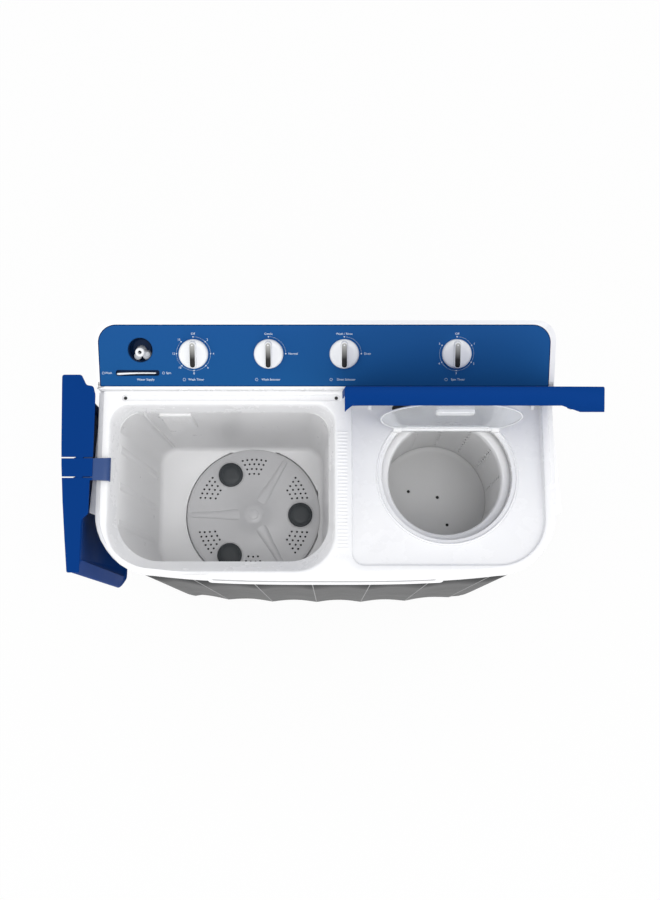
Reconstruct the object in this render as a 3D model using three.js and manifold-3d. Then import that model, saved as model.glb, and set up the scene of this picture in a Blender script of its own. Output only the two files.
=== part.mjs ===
// Twin tub washer: wash tub with pulsator on the left, spin basket on the right, console at the back.
// Millimetres, +Z up, +X to the machine's right, +Y to its back. Both lids stand open at rest.
import * as THREE from 'three';
import { mergeVertices } from 'three/addons/utils/BufferGeometryUtils.js';
import Module from 'manifold-3d';

const wasm = await Module();
wasm.setup();

// ---- driving dimensions -------------------------------------------------------------------
const GAP = 0.3;                       // air between touching pieces
const SEG = 32;                        // sides of a large round
const RIM_HALF = 469;                  // half width of the top frame
const RIM_Z = 930;                     // top of the rim
const SKIRT_Z = 900;                   // lower edge of the front skirt
const SIDE_SKIRT_Z = 882;              // lower edge of the side skirts
const FRONT_Y = 2;                     // front of the skirt's lower edge, at the middle
const SKIRT_LEAN = 10;                 // the skirt's top edge stands this far behind its lower edge
const BOW = 14;                        // the front draws back this far towards its corners
const BOW_X = 345;                     // where the front corners start
const BODY_HALF = 463;                 // half width of the cabinet
const BODY_BACK_Y = 505;
const BODY_WALL = 4;
const BODY_BOTTOM_Z = 60;
const FLUTE_PITCH = 121.5;
const FLUTE_DEPTH = 6;
const FLUTE_X0 = -28;                  // one ridge of the fluting
const CONSOLE_Y = 394.3;               // front of the console
const CONSOLE_BACK_Y = 519;
const CONSOLE_HALF = 467;
const PANEL_Y = 397.5;                 // lower edge of the sloping panel
const PANEL_Z = 950;
const PANEL_TILT = THREE.MathUtils.degToRad(24.35);
const PANEL_LEN = 121;
const PANEL_THICK = 3;
const KNOB_S = 68.6;                   // knob centres, measured up the slope
const KNOB_R = 30;
const KNOB_X = { wash_timer: -268, wash_selector: -115.5, drain_selector: 38, spin_timer: 266 };
const INLET = [-376, 76, 24];          // x, place up the slope, radius
const ROCKER = [-383, 29];             // centre of the water selector
const TUB_WALL = 3;
const TUB_FLOOR_Z = 480;
const WELL_Z = 462;                    // floor of the well that holds the pulsator
const MOUTH_Z = 880;
const PULSATOR = [-176, 193, 158];     // x, y, radius
const SPIN = [249, 222];               // axis of the spin basket
const SPIN_OPENING_R = 143;
const SPIN_HINGE_Y = 322;              // chord that cuts the opening, and the inner cover's hinge
const BASKET_R = 134;
const BASKET_FLOOR_Z = 528;
const DECK_FRONT_Z = 925;              // the spin deck falls towards the back
const DECK_BACK_Z = 897;
const WASH_PIVOT = [-507, 932];        // x, z of the wash lid's hinge
const WASH_LID_LEN = 527;
const LID_T = 3;
const SPIN_PIVOT = [386, 942];         // y, z of the spin lid's hinge
const SPIN_LID_LEN = 386;
const SPIN_LID_OPEN = THREE.MathUtils.degToRad(77.5);
const COVER_PIVOT = [317, 916];        // y, z of the inner cover's hinge
const COVER_OPEN = THREE.MathUtils.degToRad(90);
const WASH_MOTOR = [-345, 330];
const BELT_Z = 372;                    // middle of the belt's plane
const VALVE = [38, 445];

const WHITE = 0xeef1f5;
const BLUE = 0x0d3e8a;
const PANEL_BLUE = 0x1c4a86;
const GREY = 0x8a8c8e;
const TUB_GREY = 0xc9cacc;
const DARK = 0x424649;
const STEEL = 0x9a9da0;
const BLACK = 0x1d1e20;

// ---- geometry helpers ---------------------------------------------------------------------
const v2 = (x, y) => new THREE.Vector2(x, y);

/** Points of a polygon whose corners [x, y, radius] are rounded with arcs. */
function rounded(corners, steps = 6) {
  const out = [];
  corners.forEach(([x, y, r], i) => {
    const [px, py] = corners[(i + corners.length - 1) % corners.length];
    const [nx, ny] = corners[(i + 1) % corners.length];
    if (!r) {
      out.push(v2(x, y));
      return;
    }
    const here = v2(x, y);
    const a = v2(px, py).sub(here).normalize();
    const b = v2(nx, ny).sub(here).normalize();
    const half = Math.acos(THREE.MathUtils.clamp(a.dot(b), -1, 1)) / 2;
    const centre = a.clone().add(b).normalize().multiplyScalar(r / Math.sin(half)).add(here);
    const from = a.clone().multiplyScalar(r / Math.tan(half)).add(here).sub(centre);
    const to = b.clone().multiplyScalar(r / Math.tan(half)).add(here).sub(centre);
    let turn = to.angle() - from.angle();
    if (turn > Math.PI) turn -= 2 * Math.PI;
    if (turn < -Math.PI) turn += 2 * Math.PI;
    for (let k = 0; k <= steps; k++) {
      const angle = from.angle() + (turn * k) / steps;
      out.push(v2(centre.x + r * Math.cos(angle), centre.y + r * Math.sin(angle)));
    }
  });
  return out;
}

const rect = (x0, x1, y0, y1, r = 0) => rounded([[x0, y0, r], [x1, y0, r], [x1, y1, r], [x0, y1, r]]);

function ring(x, y, r, sides = SEG) {
  return Array.from({ length: sides }, (_, i) => {
    const a = (2 * Math.PI * i) / sides;
    return v2(x + r * Math.cos(a), y + r * Math.sin(a));
  });
}

/** A prism from z0 to z1 over an outline, with optional hole outlines. */
function prism(points, z0, z1, holes = []) {
  const shape = new THREE.Shape(points);
  shape.holes = holes.map((h) => new THREE.Path(h));
  return new THREE.ExtrudeGeometry(shape, { depth: z1 - z0, bevelEnabled: false }).translate(0, 0, z0);
}

/** A solid that runs from one outline to another with the same number of points. */
function loft(low, z0, high, z1) {
  const geometry = prism(low, 0, 1);
  const key = (x, y) => `${x.toFixed(3)},${y.toFixed(3)}`;
  const index = new Map(low.map((p, i) => [key(p.x, p.y), i]));
  const pos = geometry.attributes.position;
  for (let i = 0; i < pos.count; i++) {
    const p = high[index.get(key(pos.getX(i), pos.getY(i)))];
    if (pos.getZ(i) > 0.5) pos.setXYZ(i, p.x, p.y, z1);
    else pos.setZ(i, z0);
  }
  return geometry;
}

/** A prism along X over an outline in (y, z). */
function prismX(points, x0, x1) {
  return prism(points, 0, x1 - x0).applyMatrix4(
    new THREE.Matrix4().set(0, 0, 1, x0, 1, 0, 0, 0, 0, 1, 0, 0, 0, 0, 0, 1));
}

/** A prism along Y over an outline in (z, x). */
function prismY(points, y0, y1) {
  return prism(points, 0, y1 - y0).applyMatrix4(
    new THREE.Matrix4().set(0, 1, 0, 0, 0, 0, 1, y0, 1, 0, 0, 0, 0, 0, 0, 1));
}

const block = (x0, x1, y0, y1, z0, z1) => prism(rect(x0, x1, y0, y1), z0, z1);
const disc = (x, y, r, z0, z1, sides = SEG) => prism(ring(x, y, r, sides), z0, z1);
const rodX = (y, z, r, x0, x1, sides = 12) => prismX(ring(y, z, r, sides), x0, x1);
const rodY = (z, x, r, y0, y1, sides = 12) => prismY(ring(z, x, r, sides), y0, y1);

/** A turned piece about a vertical axis at (x, y); the profile is [radius, z] from end to end. */
function turned(profile, x = 0, y = 0, sides = SEG) {
  const closed = profile[0][0] > 0 ? [...profile, profile[0]] : profile;
  return new THREE.LatheGeometry(closed.map(([r, z]) => v2(r, z)), sides)
    .rotateX(Math.PI / 2).translate(x, y, 0);
}

/** A hollow or solid tube along a curve through the given points. */
function tube(points, r, bore, steps, sides = 12) {
  const curve = new THREE.CatmullRomCurve3(points.map((p) => new THREE.Vector3(...p)), false, 'centripetal');
  const shape = new THREE.Shape(ring(0, 0, r, sides));
  if (bore) shape.holes = [new THREE.Path(ring(0, 0, bore, sides))];
  return new THREE.ExtrudeGeometry(shape, { steps, extrudePath: curve, bevelEnabled: false });
}

function solid(geometry) {
  const bare = geometry.clone();
  bare.deleteAttribute('normal');
  bare.deleteAttribute('uv');
  const merged = mergeVertices(bare, 1e-3);
  const vertProperties = new Float32Array(merged.attributes.position.array);
  return new wasm.Manifold(new wasm.Mesh({
    numProp: 3, vertProperties, triVerts: new Uint32Array(merged.index.array) }));
}

function geometryOf(manifold) {
  const mesh = manifold.getMesh();
  const geometry = new THREE.BufferGeometry();
  geometry.setAttribute('position', new THREE.BufferAttribute(mesh.vertProperties, 3));
  geometry.setIndex(new THREE.BufferAttribute(mesh.triVerts, 1));
  return geometry;
}

const cut = (body, ...tools) =>
  geometryOf(tools.reduce((m, t) => m.subtract(solid(t)), solid(body)));
const join = (body, ...more) =>
  geometryOf(more.reduce((m, t) => m.add(solid(t)), solid(body)));
const common = (body, other) => geometryOf(solid(body).intersect(solid(other)));

// ---- scene graph --------------------------------------------------------------------------
const machine = new THREE.Group();
const panelGroup = new THREE.Group();
panelGroup.position.set(0, PANEL_Y, PANEL_Z);
panelGroup.rotation.x = PANEL_TILT;
machine.add(panelGroup);

function add(name, geometry, color, roughness = 0.4, metalness = 0, parent = machine) {
  const mesh = new THREE.Mesh(geometry, new THREE.MeshStandardMaterial({ color, roughness, metalness }));
  mesh.name = name;
  parent.add(mesh);
  return mesh;
}

// ---- outlines -----------------------------------------------------------------------------
const bow = (x) => BOW * Math.min(1, Math.abs(x) / BOW_X) ** 3;

/** Plan outline with a bowed front, large front corners and small back ones. */
function plan(half, frontY, backY, backR, front = (x) => frontY + bow(x), steps = 24) {
  const out = [];
  for (let i = 0; i <= steps; i++) {
    const x = -BOW_X + (2 * BOW_X * i) / steps;
    out.push(v2(x, front(x)));
  }
  const cornerY = front(BOW_X);
  const cornerR = half - BOW_X;
  const arc = Array.from({ length: 8 }, (_, i) => ((i + 1) * Math.PI) / 16);
  arc.forEach((a) => out.push(v2(BOW_X + cornerR * Math.sin(a), cornerY + cornerR * (1 - Math.cos(a)))));
  const back = [-1, 0, 1, 2, 3].map((i) => (Math.PI / 8) * Math.max(0, i)).slice(1);
  back.push(Math.PI / 2);
  back.forEach((a) => out.push(v2(half - backR * (1 - Math.cos(a)), backY - backR * (1 - Math.sin(a)))));
  return out.concat(out.filter((p) => p.x > BOW_X + 0.01).reverse().map((p) => v2(-p.x, p.y)));
}

const fluted = (x) => FRONT_Y + 2 + bow(x)
  + FLUTE_DEPTH * Math.abs(Math.sin((Math.PI * (x - FLUTE_X0)) / FLUTE_PITCH));
const bodyOuter = plan(BODY_HALF, 0, BODY_BACK_Y, 30, fluted, 48);
const BODY_INNER_Y = FRONT_Y + 2 + FLUTE_DEPTH + 2.5;
const bodyInner = plan(BODY_HALF - BODY_WALL, BODY_INNER_Y, BODY_BACK_Y - BODY_WALL, 26);

// ---- cabinet, base and feet ---------------------------------------------------------------
function makeCabinet() {
  const drainHole = rodY(104, -420, 15.5, 490, 515);
  const glandHole = rodY(160, -430, 8.5, 490, 515);
  const backOpening = block(-380, 380, 495, 515, 112, 560);
  add('body_shell', cut(prism(bodyOuter, BODY_BOTTOM_Z, SKIRT_Z - GAP), prism(bodyInner, 0, 1000),
    backOpening, drainHole, glandHole), GREY, 0.5);

  const trayOuter = plan(BODY_HALF - 8, BODY_INNER_Y + 2, BODY_BACK_Y - 8, 24);
  const trayInner = plan(BODY_HALF - 12, BODY_INNER_Y + 6, BODY_BACK_Y - 12, 20);
  add('base_tray', cut(prism(trayOuter, 20, 72), prism(trayInner, 24, 80)), BLACK, 0.7);

  const corners = {
    front_left: [-330, 70], front_right: [330, 70], back_left: [-400, 450], back_right: [400, 450],
  };
  for (const [name, [x, y]] of Object.entries(corners)) {
    const foot = turned([[0, 0], [20, 0], [24, 4], [20, 20 - GAP], [0, 20 - GAP]], x, y, 16);
    add(`foot_${name}`, foot, BLACK, 0.9);
  }

  const slots = Array.from({ length: 7 }, (_, i) => block(180, 340, 500, 515, 180 + i * 22, 188 + i * 22));
  add('back_service_cover', cut(block(-392, 392, BODY_BACK_Y + GAP, 508, 100, 572), ...slots), GREY, 0.6);
}

// ---- top frame ----------------------------------------------------------------------------
const WEDGE_X = [52, 446];
const WEDGE_Y = [34, 392];
const WEDGE_CORNER = 98;

/** The recess over the spin basket, pushed down by drop and widened by grow. */
function spinRecess(drop, grow) {
  const [x0, x1] = [WEDGE_X[0] - grow, WEDGE_X[1] + grow];
  const [y0, y1] = [WEDGE_Y[0] - grow, WEDGE_Y[1] + grow];
  const fall = (DECK_BACK_Z - DECK_FRONT_Z) / (y1 - y0);
  const slope = [v2(y0 - 10, DECK_FRONT_Z - drop - 10 * fall), v2(y1 + 10, DECK_BACK_Z - drop + 10 * fall),
    v2(y1 + 10, 960), v2(y0 - 10, 960)];
  const planView = rounded([[x0, y0, 20], [x1, y0, WEDGE_CORNER + grow], [x1, y1, 0], [x0, y1, 0]], 8);
  return common(prismX(slope, x0 - 10, x1 + 10), prism(planView, DECK_BACK_Z - 20, 950));
}

const funnelTop = (g) => rounded([[-442 - g, 24 - g, 95], [19 + g, 24 - g, 80], [19 + g, 366 + g, 40],
  [-442 - g, 366 + g, 40]], 8);
const mouth = (g) => rounded([[-431 - g, 47 - g, 92], [6.5 + g, 47 - g, 80], [6.5 + g, 359 + g, 42],
  [-431 - g, 359 + g, 42]], 8);

/** The spin opening: a round cut off straight where the inner cover hinges. */
function spinOpening(r, chord, z0, z1) {
  return common(disc(...SPIN, r, z0, z1, 56), block(0, 460, 0, chord, z0 - 1, z1 + 1));
}

function makeTopFrame() {
  const outerTop = plan(RIM_HALF, FRONT_Y + SKIRT_LEAN, 394, 2);
  const outerLow = plan(RIM_HALF, FRONT_Y, 394, 2);
  const shellWall = 3.2;
  const innerTop = plan(RIM_HALF - shellWall, FRONT_Y + SKIRT_LEAN + shellWall, 394 - shellWall, 2);
  const innerLow = plan(RIM_HALF - shellWall, FRONT_Y + shellWall, 394 - shellWall, 2);
  const ceiling = RIM_Z - 3.5;
  let pocket = solid(loft(innerLow, SKIRT_Z - 1, innerTop, ceiling));
  pocket = pocket.subtract(solid(loft(mouth(3.5), MOUTH_Z, funnelTop(3.5), RIM_Z)));
  pocket = pocket.subtract(solid(spinRecess(3.5, 3.5)));

  let frame = solid(loft(outerLow, SKIRT_Z, outerTop, RIM_Z)).subtract(pocket);
  frame = frame.add(solid(loft(mouth(3.5), MOUTH_Z, funnelTop(3.5), RIM_Z)));
  frame = frame.add(solid(common(spinRecess(3.5, 3.5), block(40, 460, 20, 393.5, 880, RIM_Z))));
  frame = frame.add(solid(spinOpening(SPIN_OPENING_R + 4, SPIN_HINGE_Y + 4, 886, RIM_Z)));
  for (const side of [-1, 1]) {
    const wing = [v2(side * 465, 140), v2(side * 468, 140), v2(side * 486, 146), v2(side * 470, 392),
      v2(side * 465, 392)];
    const skirtX = [side * 465.2, side * RIM_HALF].sort((a, b) => a - b);
    frame = frame.add(solid(block(...skirtX, 140, 393, SIDE_SKIRT_Z, SKIRT_Z + 2)));
    frame = frame.add(solid(prism(side > 0 ? wing : wing.reverse(), SIDE_SKIRT_Z, SIDE_SKIRT_Z + 10)));
  }
  const hole = loft(mouth(0), MOUTH_Z - 1, funnelTop(0), RIM_Z + 1);
  const groove = prism(rect(-420, 30, 373, 387, 6.9), RIM_Z - 2, RIM_Z + 5);
  frame = frame.subtract(solid(hole)).subtract(solid(groove)).subtract(solid(spinRecess(0, 0)));
  frame = frame.subtract(solid(spinOpening(SPIN_OPENING_R, SPIN_HINGE_Y, 880, 960)));
  for (const x of [88, 426]) {
    const side = rounded([[378, 893, 0], [391.8, 893, 0], [391.8, 948, 5], [378, 948, 5]], 4);
    const lug = prismX(side, x, x + 8);
    frame = frame.add(solid(lug)).subtract(solid(rodX(...SPIN_PIVOT, 3.6, x - 1, x + 9)));
  }
  add('top_frame', geometryOf(frame), WHITE, 0.25);
}

// ---- wash tub -----------------------------------------------------------------------------
const tubTop = (g) => rounded([[-431 - g, 30 - g, 100], [6.5 + g, 30 - g, 80], [6.5 + g, 359 + g, 45],
  [-431 - g, 359 + g, 45]], 8);
const tubLow = (g) => rounded([[-405 - g, 30 - g, 95], [-8 + g, 30 - g, 75], [-8 + g, 359 + g, 42],
  [-405 - g, 359 + g, 42]], 8);

function makeWashTub() {
  const [px, py, pr] = PULSATOR;
  const top = MOUTH_Z - GAP;
  const underFloor = TUB_FLOOR_Z - TUB_WALL;
  const outer = loft(tubLow(TUB_WALL), underFloor, tubTop(TUB_WALL), top);
  const flange = prism(tubTop(TUB_WALL + 1), top - 3, top);
  const wellOuter = disc(px, py, pr + 5.5, WELL_Z - TUB_WALL, underFloor + 1, 56);
  const inner = loft(tubLow(0), TUB_FLOOR_Z, tubTop(0), top + 1);
  const well = disc(px, py, pr + 2.5, WELL_Z, TUB_FLOOR_Z + 1, 56);
  const shaftHole = disc(px, py, 12, WELL_Z - 10, WELL_Z + 5, 24);
  const drainHole = disc(-60, 335, 14, underFloor - 5, TUB_FLOOR_Z + 5, 20);
  add('wash_tub', cut(join(outer, flange, wellOuter), inner, well, shaftHole, drainHole), TUB_GREY, 0.35);

  const slots = Array.from({ length: 8 }, (_, i) => block(-354, -302, 330, 349, 520 + i * 30, 524 + i * 30));
  add('overflow_filter_cover', cut(block(-362, -292, 342, 359 - GAP, TUB_FLOOR_Z + GAP, 810), ...slots,
    block(-358, -296, 346, 360, 470, 806)), TUB_GREY, 0.4);
}

// ---- pulsator and its drive -----------------------------------------------------------------
function makeWashDrive() {
  const [px, py, pr] = PULSATOR;
  const plate = turned([[0, 470], [40, 470], [pr - 8, 474], [pr, 476], [pr, 480], [pr - 12, 484], [60, 484],
    [34, 492], [22, 498], [0, 498]], px, py, 48);
  const capSeats = [];
  const ribs = [];
  for (let k = 0; k < 3; k++) {
    const capAngle = (k * 2 * Math.PI) / 3;
    const ribAngle = capAngle + Math.PI / 3;
    const seat = disc(0, 0, 32, 482, 488, 20).translate(113, 0, 0).rotateZ(capAngle).translate(px, py, 0);
    capSeats.push(seat);
    const ribOutline = [v2(20, -14), v2(148, -5), v2(148, 5), v2(20, 14)];
    ribs.push(prism(ribOutline, 478, 494).rotateZ(ribAngle).translate(px, py, 0));
    const cap = turned([[0, 488 + GAP], [27, 488 + GAP], [27, 493], [23, 497], [0, 499]], 0, 0, 20)
      .translate(113, 0, 0).rotateZ(capAngle).translate(px, py, 0);
    add(`pulsator_cap_${k + 1}`, cap, DARK, 0.45);
  }
  add('pulsator', cut(join(plate, ...capSeats, ...ribs), disc(px, py, 7.4, 465, 480, 20)), TUB_GREY, 0.35);
  add('pulsator_shaft', disc(px, py, 7, 352, 479.5, 20), STEEL, 0.3, 1);
  add('bearing_housing', turned([[9, 392], [46, 392], [46, 430], [30, 440], [30, WELL_Z - TUB_WALL - GAP],
    [9, WELL_Z - TUB_WALL - GAP]], px, py, 28), STEEL, 0.5, 0.8);
  add('pulsator_pulley', turned([[7.3, BELT_Z - 9], [62, BELT_Z - 9], [62, BELT_Z - 6], [56, BELT_Z - 5],
    [56, BELT_Z + 5], [62, BELT_Z + 6], [62, BELT_Z + 9], [7.3, BELT_Z + 9]], px, py, 28), DARK, 0.5);

  const [mx, my] = WASH_MOTOR;
  add('motor_pulley', turned([[5.3, BELT_Z - 9], [22, BELT_Z - 9], [22, BELT_Z - 6], [17, BELT_Z - 5],
    [17, BELT_Z + 5], [22, BELT_Z + 6], [22, BELT_Z + 9], [5.3, BELT_Z + 9]], mx, my, 16), DARK, 0.5);
  add('wash_motor_shaft', disc(mx, my, 5, 341, BELT_Z + 12, 16), STEEL, 0.3, 1);
  add('drive_belt', makeBelt(mx, my, 17.9, px, py, 57), BLACK, 0.9);
  add('wash_motor', turned([[0, 205], [50, 205], [58, 215], [58, 330], [50, 340], [0, 340]], mx, my, 20),
    STEEL, 0.5, 0.6);

  const posts = [[-412, 268], [-412, 392], [-282, 392]]
    .map(([x, y]) => disc(x, y, 7, 346, TUB_FLOOR_Z - TUB_WALL - GAP, 12));
  add('wash_motor_bracket', cut(join(prism(rect(-422, -272, 258, 402, 12), 345, 349), ...posts),
    disc(mx, my, 9, 340, 350, 20)), STEEL, 0.6, 0.9);
}

/** A flat belt as the band between two outlines around both pulleys. */
function makeBelt(ax, ay, ar, bx, by, br) {
  const along = Math.atan2(by - ay, bx - ax);
  const spread = Math.acos((ar - br) / Math.hypot(bx - ax, by - ay));
  const outline = (t) => {
    const out = [];
    const wrap = (x, y, r, from, to) => {
      for (let i = 0; i <= 14; i++) {
        const a = from + ((to - from) * i) / 14;
        out.push(v2(x + (r + t) * Math.cos(a), y + (r + t) * Math.sin(a)));
      }
    };
    wrap(ax, ay, ar, along + spread, along + 2 * Math.PI - spread);
    wrap(bx, by, br, along - spread, along + spread);
    return out;
  };
  return prism(outline(4), BELT_Z - 4, BELT_Z + 4, [outline(0)]);
}

// ---- spin side ------------------------------------------------------------------------------
function makeSpinSide() {
  const [x, y] = SPIN;
  add('spin_outer_tub', turned([[30, 466], [152, 466], [156, 470], [156, 882], [151, 882], [151, 471],
    [30, 471]], x, y, 32), TUB_GREY, 0.5);
  add('spin_basket', turned([[0, BASKET_FLOOR_Z], [70, BASKET_FLOOR_Z], [BASKET_R - 6, BASKET_FLOOR_Z + 2],
    [BASKET_R, BASKET_FLOOR_Z + 10], [BASKET_R, 832], [141, 836], [141, 868], [137, 872], [134, 872],
    [131, 866], [131, BASKET_FLOOR_Z + 12], [BASKET_R - 10, BASKET_FLOOR_Z + 5], [0, BASKET_FLOOR_Z + 5]],
  x, y, 36), TUB_GREY, 0.4);
  add('spin_shaft', turned([[0, 298], [8, 298], [8, 500], [34, 510], [34, BASKET_FLOOR_Z - GAP],
    [0, BASKET_FLOOR_Z - GAP]], x, y, 20), STEEL, 0.3, 1);
  add('spin_bellows', turned([[10, 420], [24, 424], [20, 432], [29, 440], [24, 448], [36, 458],
    [36, 466 - GAP], [12, 466 - GAP], [16, 450], [12, 440], [14, 430], [10, 428]], x, y, 20), BLACK, 0.8);
  add('brake_drum', turned([[8.3, 300], [46, 300], [46, 326], [42, 326], [42, 306], [8.3, 306]], x, y, 20),
    STEEL, 0.4, 0.9);
  const leverArm = prism(rounded([[297, 214, 4], [313, 214, 4], [326, 314, 6], [310, 314, 6]]), 302, 322);
  add('brake_lever', join(leverArm, disc(318, 302, 4, 149 + GAP, 303, 12)), STEEL, 0.5, 0.9);
  add('spin_motor', turned([[0, 152], [50, 152], [62, 160], [62, 270], [50, 282], [14, 282], [14, 296],
    [0, 296]], x, y, 20), STEEL, 0.5, 0.6);
  add('spin_motor_plate', prism(rect(x - 95, x + 95, y - 90, y + 90, 20), 145.5, 149), STEEL, 0.6, 0.9);
  for (let k = 0; k < 3; k++) {
    const a = Math.PI / 2 + (k * 2 * Math.PI) / 3;
    const damper = turned([[0, 24 + GAP], [18, 24 + GAP], [18, 40], [12, 60], [16, 85], [12, 110], [18, 130],
      [18, 145], [0, 145]], 0, 0, 12);
    add(`spin_damper_${k + 1}`, damper.translate(x + 72 * Math.cos(a), y + 72 * Math.sin(a), 0), BLACK, 0.9);
  }
}

// ---- water and drain ------------------------------------------------------------------------
function makeWaterways() {
  const [vx, vy] = VALVE;
  const valve = turned([[0, 84], [26, 84], [30, 90], [30, 158], [12, 164], [0, 164]], vx, vy, 24);
  const chamber = disc(vx, vy, 24, 88, 154, 24);
  add('drain_valve_body', cut(valve, chamber, disc(vx, vy, 5, 150, 170, 16)), WHITE, 0.5);
  add('drain_valve_stem', turned([[0, 94], [20, 94], [20, 100], [4, 104], [4, 905], [9, 905], [9, 912],
    [0, 912]], vx, vy, 16), TUB_GREY, 0.4);
  add('drain_pipe', tube([[vx - 31, vy, 105], [-120, vy, 105], [-330, vy, 104], [-395, 452, 104],
    [-419, 476, 104], [-420, 500, 104], [-420, 518, 104]], 14, 11, 16, 10), GREY, 0.6);
  add('wash_drain_hose', tube([[-60, 335, 476 - GAP], [-60, 336, 430], [-50, 350, 300], [-25, 400, 170],
    [-20, 428, 140], [-6, 441, 135]], 11, 0, 14, 8), BLACK, 0.8);
  add('spin_drain_hose', tube([[160, 330, 465 - GAP], [160, 331, 430], [150, 345, 300], [110, 400, 170],
    [96, 430, 140], [82, 441, 135]], 11, 0, 14, 8), BLACK, 0.8);
  const gland = turned([[4, 497], [8, 497], [8, BODY_BACK_Y + GAP], [12, BODY_BACK_Y + GAP], [12, 510],
    [7, 518], [4, 518]], 0, 0, 20);
  add('cord_gland', gland.rotateX(-Math.PI / 2).translate(-430, 0, 160), BLACK, 0.8);
  add('capacitor', disc(-60, 460, 19, 24 + GAP, 86, 20), STEEL, 0.4, 0.5);
}

// ---- console --------------------------------------------------------------------------------
const panelOutline = (g) => rounded([[-461 - g, 1 - g, 3], [456 + g, 1 - g, 3], [456 + g, PANEL_LEN + g, 40],
  [-461 - g, PANEL_LEN + g, 40]], 8);
const [ROCKER_X, ROCKER_UP] = ROCKER;
const slotOutline = (g) => {
  const [length, width] = [44 + g, 5.5 + g];
  return rect(ROCKER_X - length, ROCKER_X + length, ROCKER_UP - width, ROCKER_UP + width, 3);
};

/** Moves a geometry from the panel's own frame to the machine's. */
const onPanel = (geometry) => geometry.rotateX(PANEL_TILT).translate(0, PANEL_Y, PANEL_Z);

function makeConsole() {
  const rise = Math.tan(PANEL_TILT);
  const slopeZ = (y, drop) => PANEL_Z + (y - PANEL_Y) * rise - drop;
  const side = [v2(CONSOLE_Y, SKIRT_Z), v2(CONSOLE_BACK_Y, SKIRT_Z), v2(CONSOLE_BACK_Y, slopeZ(512, 0)),
    v2(512, slopeZ(512, 0)), v2(CONSOLE_Y, slopeZ(CONSOLE_Y, 0))];
  const hollow = [v2(399, SKIRT_Z - 5), v2(514.5, SKIRT_Z - 5), v2(514.5, slopeZ(508, 9)),
    v2(508, slopeZ(508, 9)), v2(399, slopeZ(399, 9))];
  const planOutline = rounded([[-CONSOLE_HALF, CONSOLE_Y, 1], [CONSOLE_HALF, CONSOLE_Y, 1],
    [CONSOLE_HALF, CONSOLE_BACK_Y, 40], [-CONSOLE_HALF, CONSOLE_BACK_Y, 40]], 8);
  const planHollow = rounded([[-462.5, 399, 1], [462.5, 399, 1], [462.5, 514.5, 36], [-462.5, 514.5, 36]], 8);
  const outer = common(prismX(side, -480, 480), prism(planOutline, SKIRT_Z - 1, 1100));
  const inner = common(prismX(hollow, -480, 480), prism(planHollow, SKIRT_Z - 6, 1100));
  const stems = Object.values(KNOB_X).map((x) => onPanel(disc(x, KNOB_S, 5.2, -20, 5, 12)));
  add('console_housing', cut(outer, inner, onPanel(prism(panelOutline(GAP), -PANEL_THICK - GAP, 30)),
    onPanel(disc(INLET[0], INLET[1], INLET[2] + 0.5, -30, 5, 28)), onPanel(prism(slotOutline(0.5), -30, 5)),
    ...stems), WHITE, 0.25);

  const holes = Object.values(KNOB_X).map((x) => ring(x, KNOB_S, 5.2, 12));
  holes.push(ring(INLET[0], INLET[1], INLET[2], 28), slotOutline(0));
  add('control_panel', prism(panelOutline(0), -PANEL_THICK, 0, holes), PANEL_BLUE, 0.35, 0, panelGroup);

  for (const [name, x] of Object.entries(KNOB_X)) {
    const skirt = turned([[0, 1], [KNOB_R - 1, 1], [KNOB_R, 3], [KNOB_R - 2, 12], [0, 12]], 0, 0, 24);
    const grip = prismX(rounded([[-26, 10, 0], [26, 10, 0], [24, 23, 4], [-24, 23, 4]], 4), -5.5, 5.5);
    const stem = disc(0, 0, 4.2, -11, 4, 12);
    add(`${name}_knob`, join(skirt, grip, stem).translate(x, KNOB_S, 0), WHITE, 0.25, 0, panelGroup);
  }
  const body = (x, half, depth) => block(x - half, x + half, KNOB_S - half, KNOB_S + half, -12 - depth, -12);
  add('wash_timer', body(KNOB_X.wash_timer, 27, 30), WHITE, 0.6, 0, panelGroup);
  add('spin_timer', body(KNOB_X.spin_timer, 27, 30), WHITE, 0.6, 0, panelGroup);
  add('wash_selector_switch', body(KNOB_X.wash_selector, 19, 22), DARK, 0.6, 0, panelGroup);
  add('drain_cam', disc(KNOB_X.drain_selector, KNOB_S, 15, -24, -12, 24), DARK, 0.6, 0, panelGroup);

  const [ix, is, ir] = INLET;
  const inletBox = cut(block(ix - 30, ix + 30, is - 30, is + 28, -40, -12), disc(ix, is, ir, -30, 0, 28),
    disc(ix, is, 4, -45, -20, 12));
  add('water_inlet_box', inletBox, PANEL_BLUE, 0.5, 0, panelGroup);
  add('water_inlet_nozzle', turned([[4.5, -29.7], [15, -29.7], [15, -20], [9, -14], [9, -3], [4.5, -3]],
    ix + 1, is - 4, 20), WHITE, 0.3, 0, panelGroup);
  const tip = THREE.MathUtils.degToRad(14);
  const arms = [v2(40, -1.5), v2(40, 2.5), v2(0, 2.5), v2(-42 * Math.cos(tip), 2.5 + 42 * Math.sin(tip)),
    v2(-42 * Math.cos(tip) - 1, -1.5 + 42 * Math.sin(tip)), v2(-4, -1.5), v2(-4, -8), v2(4, -8), v2(4, -1.5)];
  const rocker = prism(arms, -3.5, 3.5).rotateX(Math.PI / 2).translate(ROCKER[0], ROCKER[1], -3);
  add('water_selector_lever', rocker, WHITE, 0.2, 0.3, panelGroup);
}

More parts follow.
